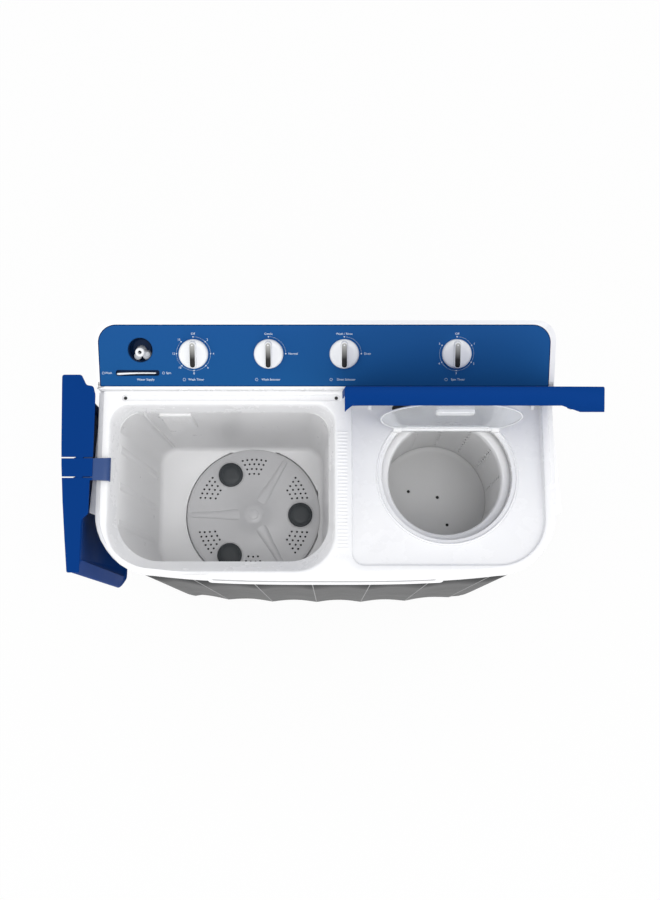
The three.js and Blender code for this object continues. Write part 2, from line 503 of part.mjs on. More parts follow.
// ---- wash lid -------------------------------------------------------------------------------
/** The wash lid in its closed frame: r to the right of the hinge as x, t up as z, hinge at the origin. */
function makeWashLid() {
  const [hx, hz] = WASH_PIVOT;
  const top = 16;
  const under = top - LID_T;
  const end = WASH_LID_LEN;
  const outline = (g) => rounded([[-9 + g, 20 + g, 8], [end - g, 20 + g, 40], [end - g, 388 - g, 30],
    [-9 + g, 388 - g, 4]], 6);
  const plate = prism(outline(0), under, top);
  const rim = cut(prism(outline(0), 0.6, under + 1), prism(outline(3), -1, under + 2));
  // The hanging edge: bowed outside, stepped beside the frame's wing and notched at the console.
  const flangeShape = [v2(-35, 426), v2(-33, 340), v2(-30.5, 282), v2(-28.5, 237), v2(-23, 162), v2(-16, 88),
    v2(-9, 20), v2(top, 20), v2(top, 126), v2(30, 138), v2(30, 206), v2(35, 252), v2(35, 384), v2(30, 402),
    v2(16, 404), v2(5, 426)];
  const flange = prismX(flangeShape.map((p) => v2(p.y, p.x)), -9, -6);
  const cornerDrop = prismY([v2(-22, -9), v2(13, -9), v2(13, 105), v2(0.6, 105)], 20, 23);
  const tongue = block(-9, -6, 215, 250, top - 1, 35);
  const barrel = join(rodY(0, 0, 5, 215, 250), block(-8, 0, 215, 250, -4, 4));
  let lid = solid(plate);
  [rim, flange, cornerDrop, tongue, barrel].forEach((g) => { lid = lid.add(solid(g)); });
  for (const y of [205.5, 250.5]) {
    lid = lid.subtract(solid(block(-12, 8, y, y + 9, -40, 40)));
  }
  lid = lid.subtract(solid(rodY(0, 0, 2.9, 200, 265)));
  // Hung at rest: the closed lid turned 270 degrees over the left side.
  add('wash_lid', geometryOf(lid).rotateY(Math.PI / 2).translate(hx, 0, hz), BLUE, 0.3);

  const plateX = [RIM_HALF * -1 - 1, -439];
  const seat = prism(rect(plateX[0], plateX[1], 208, 257, 3), RIM_Z + GAP, RIM_Z + 4);
  const hook = block(-441, -439, 210, 255, RIM_Z - 4, RIM_Z + 3).translate(1.5, 0, 0);
  const yoke = [[207, 213.5], [251.5, 258]].flatMap(([y0, y1]) => [
    rodY(hz, hx, 5, y0, y1), block(hx, -465, y0, y1, RIM_Z + GAP + 0.4, RIM_Z + 4)]);
  const bracket = cut(join(seat, hook, ...yoke), rodY(hz, hx, 2.8, 200, 265));
  add('wash_lid_bracket', bracket, BLUE, 0.3);
  add('wash_lid_pin', rodY(hz, hx, 2.4, 204, 261), STEEL, 0.3, 1);
}

// ---- spin lid and inner cover ---------------------------------------------------------------
function makeSpinLid() {
  const [hy, hz] = SPIN_PIVOT;
  const top = 6;
  const under = top - LID_T;
  const x0 = 34;
  const x1 = 486;
  const frontY = (x) => -SPIN_LID_LEN + bow(x) * 0.8;
  const outline = (g) => {
    const out = [];
    for (let x = x0 + g; x <= 400; x += 25) out.push(v2(x, frontY(x) + g));
    const corner = rounded([[401, frontY(401) + g, 0], [x1 - g, frontY(401) + 34 + g, 22], [x1 - g, 5 - g, 3],
      [x0 + g, 5 - g, 3]], 4);
    return out.concat(corner);
  };
  const plate = prism(outline(0), under, top);
  const skirtBand = cut(prism(outline(0), -32, under + 1), prism(outline(3), -40, under + 2));
  const dropZ = -37;                   // the skirt reaches lower at both front corners
  const keepFront = prismY([v2(10, 0), v2(10, 500), v2(dropZ + 2, 500), v2(dropZ, 431), v2(-27, 414),
    v2(-27, x0 + 13), v2(dropZ, x0), v2(dropZ, 0)], -SPIN_LID_LEN - 5, -SPIN_LID_LEN + 60);
  const keepRight = block(x1 - 10, 500, -SPIN_LID_LEN - 5, -8, -32, 10);
  const overFrame = block(x0 - 1, x0 + 10, -SPIN_LID_LEN + 5, -SPIN_LID_LEN + 70, -40, -6);
  const skirt = cut(join(common(skirtBand, keepFront), common(skirtBand, keepRight)), overFrame);
  const blade = prismX([v2(-SPIN_LID_LEN + 3, 4), v2(-SPIN_LID_LEN + 3, -5), v2(-200, -9), v2(-20, -11),
    v2(-8, -8), v2(-8, 4)], x0, x0 + 3);
  const ears = [98, 416].flatMap((x) => [rodX(0, 0, 6, x, x + 8), block(x, x + 8, -8, 0, -2, 5)]);
  let lid = solid(plate);
  [skirt, blade, ...ears].forEach((g) => { lid = lid.add(solid(g)); });
  for (const x of [86.5, 424.5]) {
    lid = lid.subtract(solid(block(x, x + 11, -9.5, 12, -8, 12)));
  }
  for (const x of [98, 416]) lid = lid.subtract(solid(rodX(0, 0, 3.3, x - 5, x + 13)));
  add('spin_lid', geometryOf(lid).rotateX(-SPIN_LID_OPEN).translate(0, hy, hz), BLUE, 0.3);
  add('spin_lid_pin_left', rodX(hy, hz, 3, 86, 106), STEEL, 0.3, 1);
  add('spin_lid_pin_right', rodX(hy, hz, 3, 416, 436), STEEL, 0.3, 1);

  const [cx, cy] = SPIN;
  const coverR = 140;
  const lift = Math.asin((COVER_PIVOT[0] - cy - 8) / coverR);
  const round = Array.from({ length: 41 }, (_, i) => {
    const a = Math.PI - lift + ((Math.PI + 2 * lift) * i) / 40;
    return v2(cx + coverR * Math.cos(a), cy - COVER_PIVOT[0] + coverR * Math.sin(a));
  });
  const cover = prism(round, 0, 2.5);
  const bar = join(rodX(0, 0, 4, cx - 90, cx + 90), block(cx - 84, cx + 84, -12, -1, -1.2, 3.4));
  const grip = block(cx - 26, cx + 26, -229, -225, 1, 14);
  add('spin_inner_cover', join(cover, bar, grip).rotateX(-COVER_OPEN)
    .translate(0, ...COVER_PIVOT), 0xdfe6ea, 0.1);
}

makeCabinet();
makeTopFrame();
makeWashTub();
makeWashDrive();
makeSpinSide();
makeWaterways();
makeConsole();
makeWashLid();
makeSpinLid();

// The origin stands under the middle of the whole object, on the floor.
machine.updateMatrixWorld(true);
const whole = new THREE.Box3().setFromObject(machine, true);
machine.position.set(-(whole.min.x + whole.max.x) / 2, -(whole.min.y + whole.max.y) / 2, -whole.min.z);

export default machine;
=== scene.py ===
"""Twin tub washer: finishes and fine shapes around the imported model.

Shapes are worked out in the machine's own millimetres: x from the middle plane, y back from the front,
z up from the floor. place() turns them into the frame's metres.
"""
import math

import bmesh
import bpy
from mathutils import Matrix, Vector


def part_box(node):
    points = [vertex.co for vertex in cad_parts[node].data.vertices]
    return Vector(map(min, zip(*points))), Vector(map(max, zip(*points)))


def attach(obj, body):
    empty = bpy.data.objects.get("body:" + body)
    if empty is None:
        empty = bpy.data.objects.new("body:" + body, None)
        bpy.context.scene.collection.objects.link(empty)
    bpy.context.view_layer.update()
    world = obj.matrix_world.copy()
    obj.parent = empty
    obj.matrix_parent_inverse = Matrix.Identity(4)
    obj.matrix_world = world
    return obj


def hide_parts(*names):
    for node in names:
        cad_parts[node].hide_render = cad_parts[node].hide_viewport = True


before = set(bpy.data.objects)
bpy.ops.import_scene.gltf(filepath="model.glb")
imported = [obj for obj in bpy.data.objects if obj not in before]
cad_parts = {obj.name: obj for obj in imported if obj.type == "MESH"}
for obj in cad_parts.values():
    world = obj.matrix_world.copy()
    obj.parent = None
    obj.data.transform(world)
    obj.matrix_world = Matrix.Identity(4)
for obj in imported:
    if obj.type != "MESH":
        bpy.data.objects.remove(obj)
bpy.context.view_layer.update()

# ---- main sizes, in millimetres --------------------------------------------------------------
BODY_LOW, BODY_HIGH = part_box("body_shell")
TOP_LOW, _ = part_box("top_frame")
MID_X = (BODY_LOW.x + BODY_HIGH.x) / 2
SKIRT_FRONT_Y = 2.0
FRONT = TOP_LOW.y - SKIRT_FRONT_Y / 1000
RIM_Z = 930.0
RIM_HALF = 469.0
BOW_X = 345.0
BOW = 14.0
DECK_BACK_Y = 393.6
CABINET_HALF = 463
CABINET_BACK_Y = 505
FLUTE_PITCH = 121.5
FLUTE_DEPTH = 6.0
FLUTE_X0 = -28.0
LOUVRE_PITCH = 16
RIB_PITCH = 7.2
LEDGE_TOP_Z = 914.6
PANEL_TILT = math.radians(24.35)
PANEL_ORIGIN = Vector((0, 397.5, 950))
KNOB_S = 68.6
KNOB_X = {"wash_timer": -268.0, "wash_selector": -115.5, "drain_selector": 38.0, "spin_timer": 266.0}
INLET = (-376.0, 76.0)
ROCKER = (-383.0, 29.0)
PRINT_Z = 0.6
DIAL_R = 34.6
WORD_R = 40.5
TITLE_S = 15.5
TITLE_SIZE = 6.4
WORD_SIZE = 6.2
TUB_FLOOR_Z = 480.0
PULSATOR = (-176.0, 193.0)
PULSATOR_R = 161.5
PULSATOR_DECK_Z = 484.0
CAP_RING_R = 113
HOLE_PITCH = 11.4
SPIN = (249.0, 222.0)
BASKET_R = 131.0
SPIN_CHORD_Y = 322.0
WASH_PIVOT = Vector((-507, 0, 932))
SPIN_PIVOT = Vector((0, 386, 942))
SPIN_OPEN = math.radians(77.5)
COVER_PIVOT = Vector((0, 317, 916))
COVER_OPEN = math.radians(90)

ON_PANEL = Matrix.Translation(PANEL_ORIGIN) @ Matrix.Rotation(PANEL_TILT, 4, "X")
WASH_HUNG = Matrix.Translation(WASH_PIVOT) @ Matrix.Rotation(math.radians(90), 4, "Y")
SPIN_STANDING = Matrix.Translation(SPIN_PIVOT) @ Matrix.Rotation(-SPIN_OPEN, 4, "X")
COVER_STANDING = Matrix.Translation(COVER_PIVOT) @ Matrix.Rotation(-COVER_OPEN, 4, "X")


def place(co):
    """A point in millimetres as a place in the frame."""
    return Vector((MID_X + co.x / 1000, FRONT + co.y / 1000, co.z / 1000))


def clamp(value):
    return max(0.0, min(1.0, value))


def polar(centre, r, angle):
    return centre[0] + r * math.cos(angle), centre[1] + r * math.sin(angle)


def add_object(name, data):
    obj = bpy.data.objects.new(name, data)
    bpy.context.scene.collection.objects.link(obj)
    return obj


# ---- camera ----------------------------------------------------------------------------------
def make_camera():
    """Above the machine and a little in front of it, looking almost straight down."""
    cam = add_object("camera", bpy.data.cameras.new("camera"))
    cam.data.sensor_width = 36
    cam.data.lens = 44.64
    cam.data.clip_end = 50
    cam.location = place(Vector((9, -145, 3170)))
    cam.rotation_euler = (math.radians(10.5), 0, 0)
    bpy.context.scene.camera = cam


# ---- shader groups shared by the materials -----------------------------------------------------
def new_group(name, inputs, outputs):
    tree = bpy.data.node_groups.new(name, "ShaderNodeTree")
    for label, kind, value in inputs:
        socket = tree.interface.new_socket(label, in_out="INPUT", socket_type=kind)
        socket.default_value = value
    for label, kind in outputs:
        tree.interface.new_socket(label, in_out="OUTPUT", socket_type=kind)
    return tree, tree.nodes.new("NodeGroupInput"), tree.nodes.new("NodeGroupOutput")


def node(tree, kind, **values):
    """Adds a shader node and sets its inputs, or its settings, by name."""
    made = tree.nodes.new(kind)
    for key, value in values.items():
        if key in made.inputs:
            made.inputs[key].default_value = value
        else:
            setattr(made, key, value)
    return made


def make_moulding_group():
    """Uneven tone of moulded plastic: faint cloudy flow marks and a film of handling on the gloss."""
    tree, inp, out = new_group(
        "moulded_tone",
        [("Colour", "NodeSocketColor", (1, 1, 1, 1)), ("Shade", "NodeSocketColor", (0.5, 0.5, 0.5, 1)),
         ("Cloud size", "NodeSocketFloat", 3.0), ("Amount", "NodeSocketFloat", 0.2),
         ("Gloss low", "NodeSocketFloat", 0.25), ("Gloss high", "NodeSocketFloat", 0.4)],
        [("Colour", "NodeSocketColor"), ("Roughness", "NodeSocketFloat")])
    coords = node(tree, "ShaderNodeTexCoord")
    cloud = node(tree, "ShaderNodeTexNoise", Detail=4.0, Roughness=0.6)
    smear = node(tree, "ShaderNodeTexNoise", Detail=6.0, Roughness=0.7)
    stretch = node(tree, "ShaderNodeMath", operation="MULTIPLY")
    stretch.inputs[1].default_value = 4.0
    amount = node(tree, "ShaderNodeMath", operation="MULTIPLY")
    mix = node(tree, "ShaderNodeMix", data_type="RGBA")
    gloss = node(tree, "ShaderNodeMapRange")
    link = tree.links.new
    link(coords.outputs["Object"], cloud.inputs["Vector"])
    link(coords.outputs["Object"], smear.inputs["Vector"])
    link(inp.outputs["Cloud size"], cloud.inputs["Scale"])
    link(inp.outputs["Cloud size"], stretch.inputs[0])
    link(stretch.outputs[0], smear.inputs["Scale"])
    link(cloud.outputs["Fac"], amount.inputs[0])
    link(inp.outputs["Amount"], amount.inputs[1])
    link(amount.outputs[0], mix.inputs["Factor"])
    link(inp.outputs["Colour"], mix.inputs["A"])
    link(inp.outputs["Shade"], mix.inputs["B"])
    link(smear.outputs["Fac"], gloss.inputs["Value"])
    link(inp.outputs["Gloss low"], gloss.inputs["To Min"])
    link(inp.outputs["Gloss high"], gloss.inputs["To Max"])
    link(mix.outputs["Result"], out.inputs["Colour"])
    link(gloss.outputs["Result"], out.inputs["Roughness"])
    return tree


def make_grain_group():
    """Fine spark-eroded mould grain as a normal."""
    tree, inp, out = new_group(
        "mould_grain",
        [("Grain size", "NodeSocketFloat", 900.0), ("Depth", "NodeSocketFloat", 0.1)],
        [("Normal", "NodeSocketVector")])
    coords = node(tree, "ShaderNodeTexCoord")
    noise = node(tree, "ShaderNodeTexNoise", Detail=2.0, Roughness=0.5)
    bump = node(tree, "ShaderNodeBump", Distance=0.0004)
    tree.links.new(coords.outputs["Object"], noise.inputs["Vector"])
    tree.links.new(inp.outputs["Grain size"], noise.inputs["Scale"])
    tree.links.new(noise.outputs["Fac"], bump.inputs["Height"])
    tree.links.new(inp.outputs["Depth"], bump.inputs["Strength"])
    tree.links.new(bump.outputs["Normal"], out.inputs["Normal"])
    return tree


MOULDED_TONE = make_moulding_group()
MOULD_GRAIN = make_grain_group()


def add_group(tree, group, values):
    made = tree.nodes.new("ShaderNodeGroup")
    made.node_tree = group
    for key, value in values.items():
        made.inputs[key].default_value = value
    return made


def finish_of(name, colour, shade, gloss=(0.25, 0.4), cloud=3.0, amount=0.25, depth=0.06, **sockets):
    """A moulded or coated finish: base tone, gloss variation and grain, with the rest on the shader."""
    material = bpy.data.materials.new(name)
    material.use_nodes = True
    tree = material.node_tree
    shader = tree.nodes["Principled BSDF"]
    tone = add_group(tree, MOULDED_TONE, {"Colour": (*colour, 1), "Shade": (*shade, 1), "Cloud size": cloud,
                                          "Amount": amount, "Gloss low": gloss[0], "Gloss high": gloss[1]})
    skin = add_group(tree, MOULD_GRAIN, {"Grain size": 900.0, "Depth": depth})
    tree.links.new(tone.outputs["Colour"], shader.inputs["Base Color"])
    tree.links.new(tone.outputs["Roughness"], shader.inputs["Roughness"])
    tree.links.new(skin.outputs["Normal"], shader.inputs["Normal"])
    for key, value in sockets.items():
        shader.inputs[key.replace("_", " ")].default_value = value
    return material


def fade(material, top, bottom, low, high):
    """Makes the base colour run from bottom to top between two object-space places along y."""
    tree = material.node_tree
    tone = next(n for n in tree.nodes if n.type == "GROUP" and n.node_tree == MOULDED_TONE)
    coords = node(tree, "ShaderNodeTexCoord")
    split = node(tree, "ShaderNodeSeparateXYZ")
    ramp = node(tree, "ShaderNodeMapRange")
    ramp.inputs["From Min"].default_value = low
    ramp.inputs["From Max"].default_value = high
    mix = node(tree, "ShaderNodeMix", data_type="RGBA")
    mix.inputs["A"].default_value = (*bottom, 1)
    mix.inputs["B"].default_value = (*top, 1)
    tree.links.new(coords.outputs["Object"], split.inputs[0])
    tree.links.new(split.outputs["Y"], ramp.inputs["Value"])
    tree.links.new(ramp.outputs["Result"], mix.inputs["Factor"])
    tree.links.new(mix.outputs["Result"], tone.inputs["Colour"])
    return material


PANEL_LOW, PANEL_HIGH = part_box("control_panel")
KNOB_LOW, KNOB_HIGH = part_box("wash_timer_knob")
WHITE = finish_of("white_frame_plastic", (0.885, 0.888, 0.90), (0.865, 0.868, 0.884), (0.2, 0.34), depth=0.02,
                  Specular_IOR_Level=0.35)
CABINET = finish_of("fluted_grey_plastic", (0.062, 0.063, 0.064), (0.05, 0.051, 0.052), (0.36, 0.5),
                    depth=0.25, Specular_IOR_Level=0.25, IOR=1.25)
# Painted highlight: the flute ridges are a lighter grey than the cabinet where they catch the light.
RIDGE_PAINTED_HIGHLIGHT = finish_of("ridge_painted_highlight_grey", (0.2, 0.2, 0.205), (0.16, 0.16, 0.165), (0.36, 0.5), depth=0.25)
TUB = finish_of("tub_grey_plastic", (0.84, 0.84, 0.845), (0.79, 0.79, 0.80), (0.22, 0.38), cloud=5.0)
PULSATOR_GREY = finish_of("pulsator_grey_plastic", (0.58, 0.58, 0.59), (0.52, 0.52, 0.53), (0.25, 0.4),
                          cloud=9.0)
# The basket's wall and floor are one grey plastic; the wall is painted far lighter than the floor, painted
# light to offset the shade on its upright faces.
BASKET = finish_of("basket_floor_grey", (0.66, 0.66, 0.66), (0.62, 0.62, 0.625), (0.3, 0.42), cloud=6.0)
BASKET_WALL_PAINTED_LIGHT = finish_of("basket_wall_painted_light_grey", (0.95, 0.95, 0.95), (0.93, 0.93, 0.935), (0.3, 0.42), cloud=6.0)
RING_GREY = finish_of("balance_ring_grey", (0.92, 0.92, 0.93), (0.88, 0.88, 0.89), (0.25, 0.4), cloud=9.0)
CAP = finish_of("cap_dark_plastic", (0.048, 0.054, 0.059), (0.034, 0.038, 0.042), (0.35, 0.5), cloud=30.0,
                Specular_IOR_Level=0.3)
LID_BLUE = finish_of("lid_blue_plastic", (0.003, 0.041, 0.21), (0.002, 0.033, 0.17), (0.35, 0.5),
                     Specular_IOR_Level=0.3, IOR=1.08)
# Painted sheen: the bracket tab's upward face is a greyer, lighter blue than the lid, where it catches the
# light.
TAB_PAINTED_SHEEN = finish_of("tab_painted_sheen_blue", (0.03, 0.07, 0.21), (0.02, 0.05, 0.16), (0.25, 0.4), cloud=30.0,
                     Specular_IOR_Level=0.3)
PANEL_BLUE = fade(finish_of("panel_blue_film", (0.01, 0.065, 0.22), (0.005, 0.05, 0.19), (0.3, 0.42),
                            amount=0.12, Specular_IOR_Level=0.3, IOR=1.08),
                  (0.014, 0.088, 0.285), (0.012, 0.086, 0.26), PANEL_LOW.y, PANEL_HIGH.y)
PANEL_EDGE = finish_of("panel_edge_dark_blue", (0.001, 0.018, 0.09), (0.001, 0.014, 0.07), (0.35, 0.5),
                       Specular_IOR_Level=0.3, IOR=1.08)
# Painted shade: the panel's blue made dark where it sinks into the inlet bowl and the selector slot, and on
# the inlet box.
RECESS_PAINTED_SHADE = finish_of("recess_painted_shade_blue", (0.002, 0.016, 0.06), (0.0015, 0.011, 0.04), (0.4, 0.55),
                        Specular_IOR_Level=0.15)
KNOB_WHITE = finish_of("knob_white_plastic", (0.83, 0.84, 0.86), (0.77, 0.785, 0.82), (0.2, 0.3), cloud=20.0,
                       Specular_IOR_Level=0.4)
# Painted reflection and shade: the grip insert runs from a light grey reflection at the top of the knob to
# near-black shade at the bottom.
GRIP_PAINTED_REFLECTION = fade(finish_of("grip_insert_painted_reflection", (0.3, 0.3, 0.3), (0.02, 0.02, 0.02), (0.3, 0.42), cloud=40.0,
                             amount=0.1, Specular_IOR_Level=0.3),
                   (0.62, 0.62, 0.60), (0.006, 0.006, 0.007), KNOB_LOW.y + 0.014, KNOB_HIGH.y - 0.004)
# Painted shade: a mid grey for the shadow in the groove above the finger lip.
GROOVE_PAINTED_SHADE = finish_of("groove_shade_grey", (0.42, 0.42, 0.43), (0.34, 0.34, 0.35), (0.4, 0.55), cloud=12.0)
NOZZLE_GREY = finish_of("nozzle_grey_plastic", (0.5, 0.52, 0.56), (0.4, 0.42, 0.46), (0.25, 0.4), cloud=40.0)
PRINT = finish_of("white_print", (0.70, 0.77, 0.86), (0.6, 0.67, 0.76), (0.5, 0.6), cloud=80.0)
RUBBER = finish_of("black_rubber", (0.018, 0.018, 0.019), (0.03, 0.03, 0.03), (0.6, 0.8), cloud=25.0,
                   depth=0.4)
STEEL = finish_of("turned_steel", (0.42, 0.43, 0.44), (0.3, 0.3, 0.31), (0.25, 0.45), cloud=40.0,
                  Metallic=1.0)
MOTOR = finish_of("motor_enamel", (0.06, 0.065, 0.07), (0.04, 0.042, 0.045), (0.35, 0.55), cloud=20.0)
BASE = finish_of("base_black_plastic", (0.03, 0.031, 0.033), (0.02, 0.02, 0.022), (0.45, 0.6), depth=0.3)
# Painted shadow: near black for the insides of holes, slots and gaps, which are dark only from shade.
HOLE_PAINTED_SHADOW = finish_of("deep_shadow_plastic", (0.012, 0.012, 0.013), (0.008, 0.008, 0.009), (0.6, 0.8))
# Thin clear plastic, a little frosty from scuffs.
CLEAR = finish_of("clear_cover_plastic", (0.93, 0.95, 0.97), (0.88, 0.9, 0.92), (0.08, 0.2), cloud=12.0,
                  depth=0.02, Transmission_Weight=0.78, IOR=1.2)
COVER_RIM = finish_of("frosted_cover_rim", (0.86, 0.87, 0.89), (0.8, 0.81, 0.84), (0.2, 0.32), cloud=20.0)


# ---- mesh helpers --------------------------------------------------------------------------------
def outline(corners, segments=8):
    """Points round a flat polygon of (x, y, radius) corners, each rounded by a vertex bevel."""
    bm = bmesh.new()
    verts = [bm.verts.new((x, y, 0)) for x, y, _ in corners]
    bm.faces.new(verts)
    for vert, (_, _, radius) in zip(verts, corners):
        if radius:
            bmesh.ops.bevel(bm, geom=[vert], offset=radius, offset_type="OFFSET", segments=segments,
                            profile=0.5, affect="VERTICES", material=-1)
    bm.faces.ensure_lookup_table()
    points = [v.co.copy() for v in bm.faces[0].verts]
    bm.free()
    first = min(range(len(points)), key=lambda i: (round(points[i].y, 3), round(points[i].x, 3)))
    points = points[first:] + points[:first]
    area = sum(a.x * b.y - b.x * a.y for a, b in zip(points, points[1:] + points[:1]))
    return points if area > 0 else [points[0]] + points[:0:-1]


def box_outline(x0, x1, y0, y1, r=0.0, segments=6):
    """Points round a rectangle; r is one radius, or four from the front left round to the back left."""
    radii = r if isinstance(r, tuple) else (r, r, r, r)
    return outline([(x0, y0, radii[0]), (x1, y0, radii[1]), (x1, y1, radii[2]), (x0, y1, radii[3])], segments)


def circle(x, y, r, n=64):
    return [Vector((*polar((x, y), r, 2 * math.pi * i / n), 0)) for i in range(n)]


def at_height(points, z):
    """The same points at a height, or at heights given by a function of the point."""
    return [Vector((p.x, p.y, z(p) if callable(z) else z)) for p in points]


def stack(shape, steps):
    """Rings for a sweep: shape(g) at a height, for each (g, height)."""
    return [at_height(shape(g), z) for g, z in steps]


def discs(centre, steps, n=96):
    """Circles for a sweep, about one centre, from (radius, height) steps."""
    return stack(lambda r: circle(*centre, r, n), steps)


def new_ring(bm, points):
    verts = [bm.verts.new(p) for p in points]
    edges = [bm.edges.new((a, b)) for a, b in zip(verts, verts[1:] + verts[:1])]
    return verts, edges


def extrude_ring(bm, verts, edges, points):
    """Extrudes a closed ring of edges and moves the new ring onto the points."""
    made = bmesh.ops.extrude_edge_only(bm, edges=edges)["geom"]
    fresh = {g for g in made if isinstance(g, bmesh.types.BMVert)}
    out = [next(e.other_vert(v) for e in v.link_edges if e.other_vert(v) in fresh) for v in verts]
    for vert, point in zip(out, points):
        vert.co = point
    ring = [bm.edges.get((a, b)) for a, b in zip(out, out[1:] + out[:1])]
    return out, ring


def sweep(bm, rings, close_first=False, close_last=False):
    """A skin through rings of equally many points; returns the first and last ring's edges."""
    verts, edges = new_ring(bm, rings[0])
    first = edges
    if close_first:
        bm.faces.new(verts)
    for points in rings[1:]:
        verts, edges = extrude_ring(bm, verts, edges, points)
    if close_last:
        bm.faces.new(verts)
    return first, edges


def fill_between(bm, *edge_rings):
    """A flat skin bounded by the first ring, left open inside the others."""
    bmesh.ops.triangle_fill(bm, use_beauty=True, use_dissolve=False, edges=[e for r in edge_rings for e in r])


def slab(bm, points, z0, z1):
    """A closed plate over an outline."""
    sweep(bm, [at_height(points, z0), at_height(points, z1)], True, True)


def turned(bm, profile, x=0.0, y=0.0, steps=64):
    """A surface of revolution about the vertical through (x, y), from (radius, z) points."""
    verts = [bm.verts.new((x + r, y, z)) for r, z in profile]
    edges = [bm.edges.new(pair) for pair in zip(verts, verts[1:])]
    bmesh.ops.spin(bm, geom=verts + edges, cent=(x, y, 0), axis=(0, 0, 1), angle=2 * math.pi, steps=steps,
                   use_merge=True, use_duplicate=False)


def box(bm, x0, x1, y0, y1, z0, z1):
    """A closed box between two corners."""
    centre = Matrix.Translation(((x0 + x1) / 2, (y0 + y1) / 2, (z0 + z1) / 2))
    size = Matrix.Diagonal((x1 - x0, y1 - y0, z1 - z0, 1))
    bmesh.ops.create_cube(bm, size=1, matrix=centre @ size)


def piece(name, bm, material, body="cabinet", replaces=(), matrix=None, sharp=35, wall=0.0,
          soften=0.0, face_up=False):
    """Turns a millimetre bmesh into a finished object that rides on a body.

    wall gives a skin its thickness and soften rounds its edges, both in millimetres. face_up turns an open
    skin so that its largest level face looks up.
    """
    bmesh.ops.remove_doubles(bm, verts=bm.verts, dist=0.005)
    bmesh.ops.recalc_face_normals(bm, faces=bm.faces)
    if face_up:
        top = max(bm.faces, key=lambda f: (round(abs(f.normal.z), 2), f.calc_area()))
        if top.normal.z < 0:
            bmesh.ops.reverse_faces(bm, faces=bm.faces)
    if matrix:
        bm.transform(matrix)
    for vert in bm.verts:
        vert.co = place(vert.co)
    mesh = bpy.data.meshes.new(name)
    bm.to_mesh(mesh)
    bm.free()
    mesh.shade_smooth()
    mesh.set_sharp_from_angle(angle=math.radians(sharp))
    obj = add_object(name, mesh)
    for one in material if isinstance(material, (list, tuple)) else [material]:
        mesh.materials.append(one)
    if wall:
        solid = obj.modifiers.new("wall", "SOLIDIFY")
        solid.thickness = wall / 1000
        solid.offset = -1
    if soften:
        edge = obj.modifiers.new("soft_edges", "BEVEL")
        edge.width = soften / 1000
        edge.segments = 3
        edge.limit_method = "ANGLE"
        edge.angle_limit = math.radians(40)
        edge.harden_normals = True
    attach(obj, body)
    if replaces:
        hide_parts(*replaces)
    return obj


def bow(x):
    return BOW * min(1.0, abs(x) / BOW_X) ** 3


def bowed(half, front_y, back_y, back_r=1.5, cuts=36, front=None):
    """Plan outline with a bowed front, large front corners and small back ones."""
    corner = half - BOW_X
    depth = back_y - front_y
    points = box_outline(-half, half, 0, depth, (corner, corner, back_r, back_r), 10)
    shape = front or (lambda x: front_y + bow(x))
    edge = shape(BOW_X)

    def bend(p):
        if abs(p.x) <= BOW_X + 0.01 and p.y < 0.01:
            return shape(p.x)
        if p.y <= corner + 0.01:
            return edge + p.y
        return edge + corner + (p.y - corner) * (back_y - edge - corner) / (depth - corner)
    full = []
    for p, q in zip(points, points[1:] + points[:1]):
        full.append(p)
        if abs(p.y) < 0.01 and abs(q.y) < 0.01:
            full += [p.lerp(q, k / cuts) for k in range(1, cuts)]
    return [Vector((p.x, bend(p), 0)) for p in full]


# ---- cabinet -------------------------------------------------------------------------------------
def fluted(x):
    """Front face: shallow scallops that meet in soft ridges."""
    wave = abs(math.sin(math.pi * (x - FLUTE_X0) / FLUTE_PITCH))
    return SKIRT_FRONT_Y + 2 + bow(x) + FLUTE_DEPTH * (math.sqrt(wave ** 2 + 0.004) - 0.02)


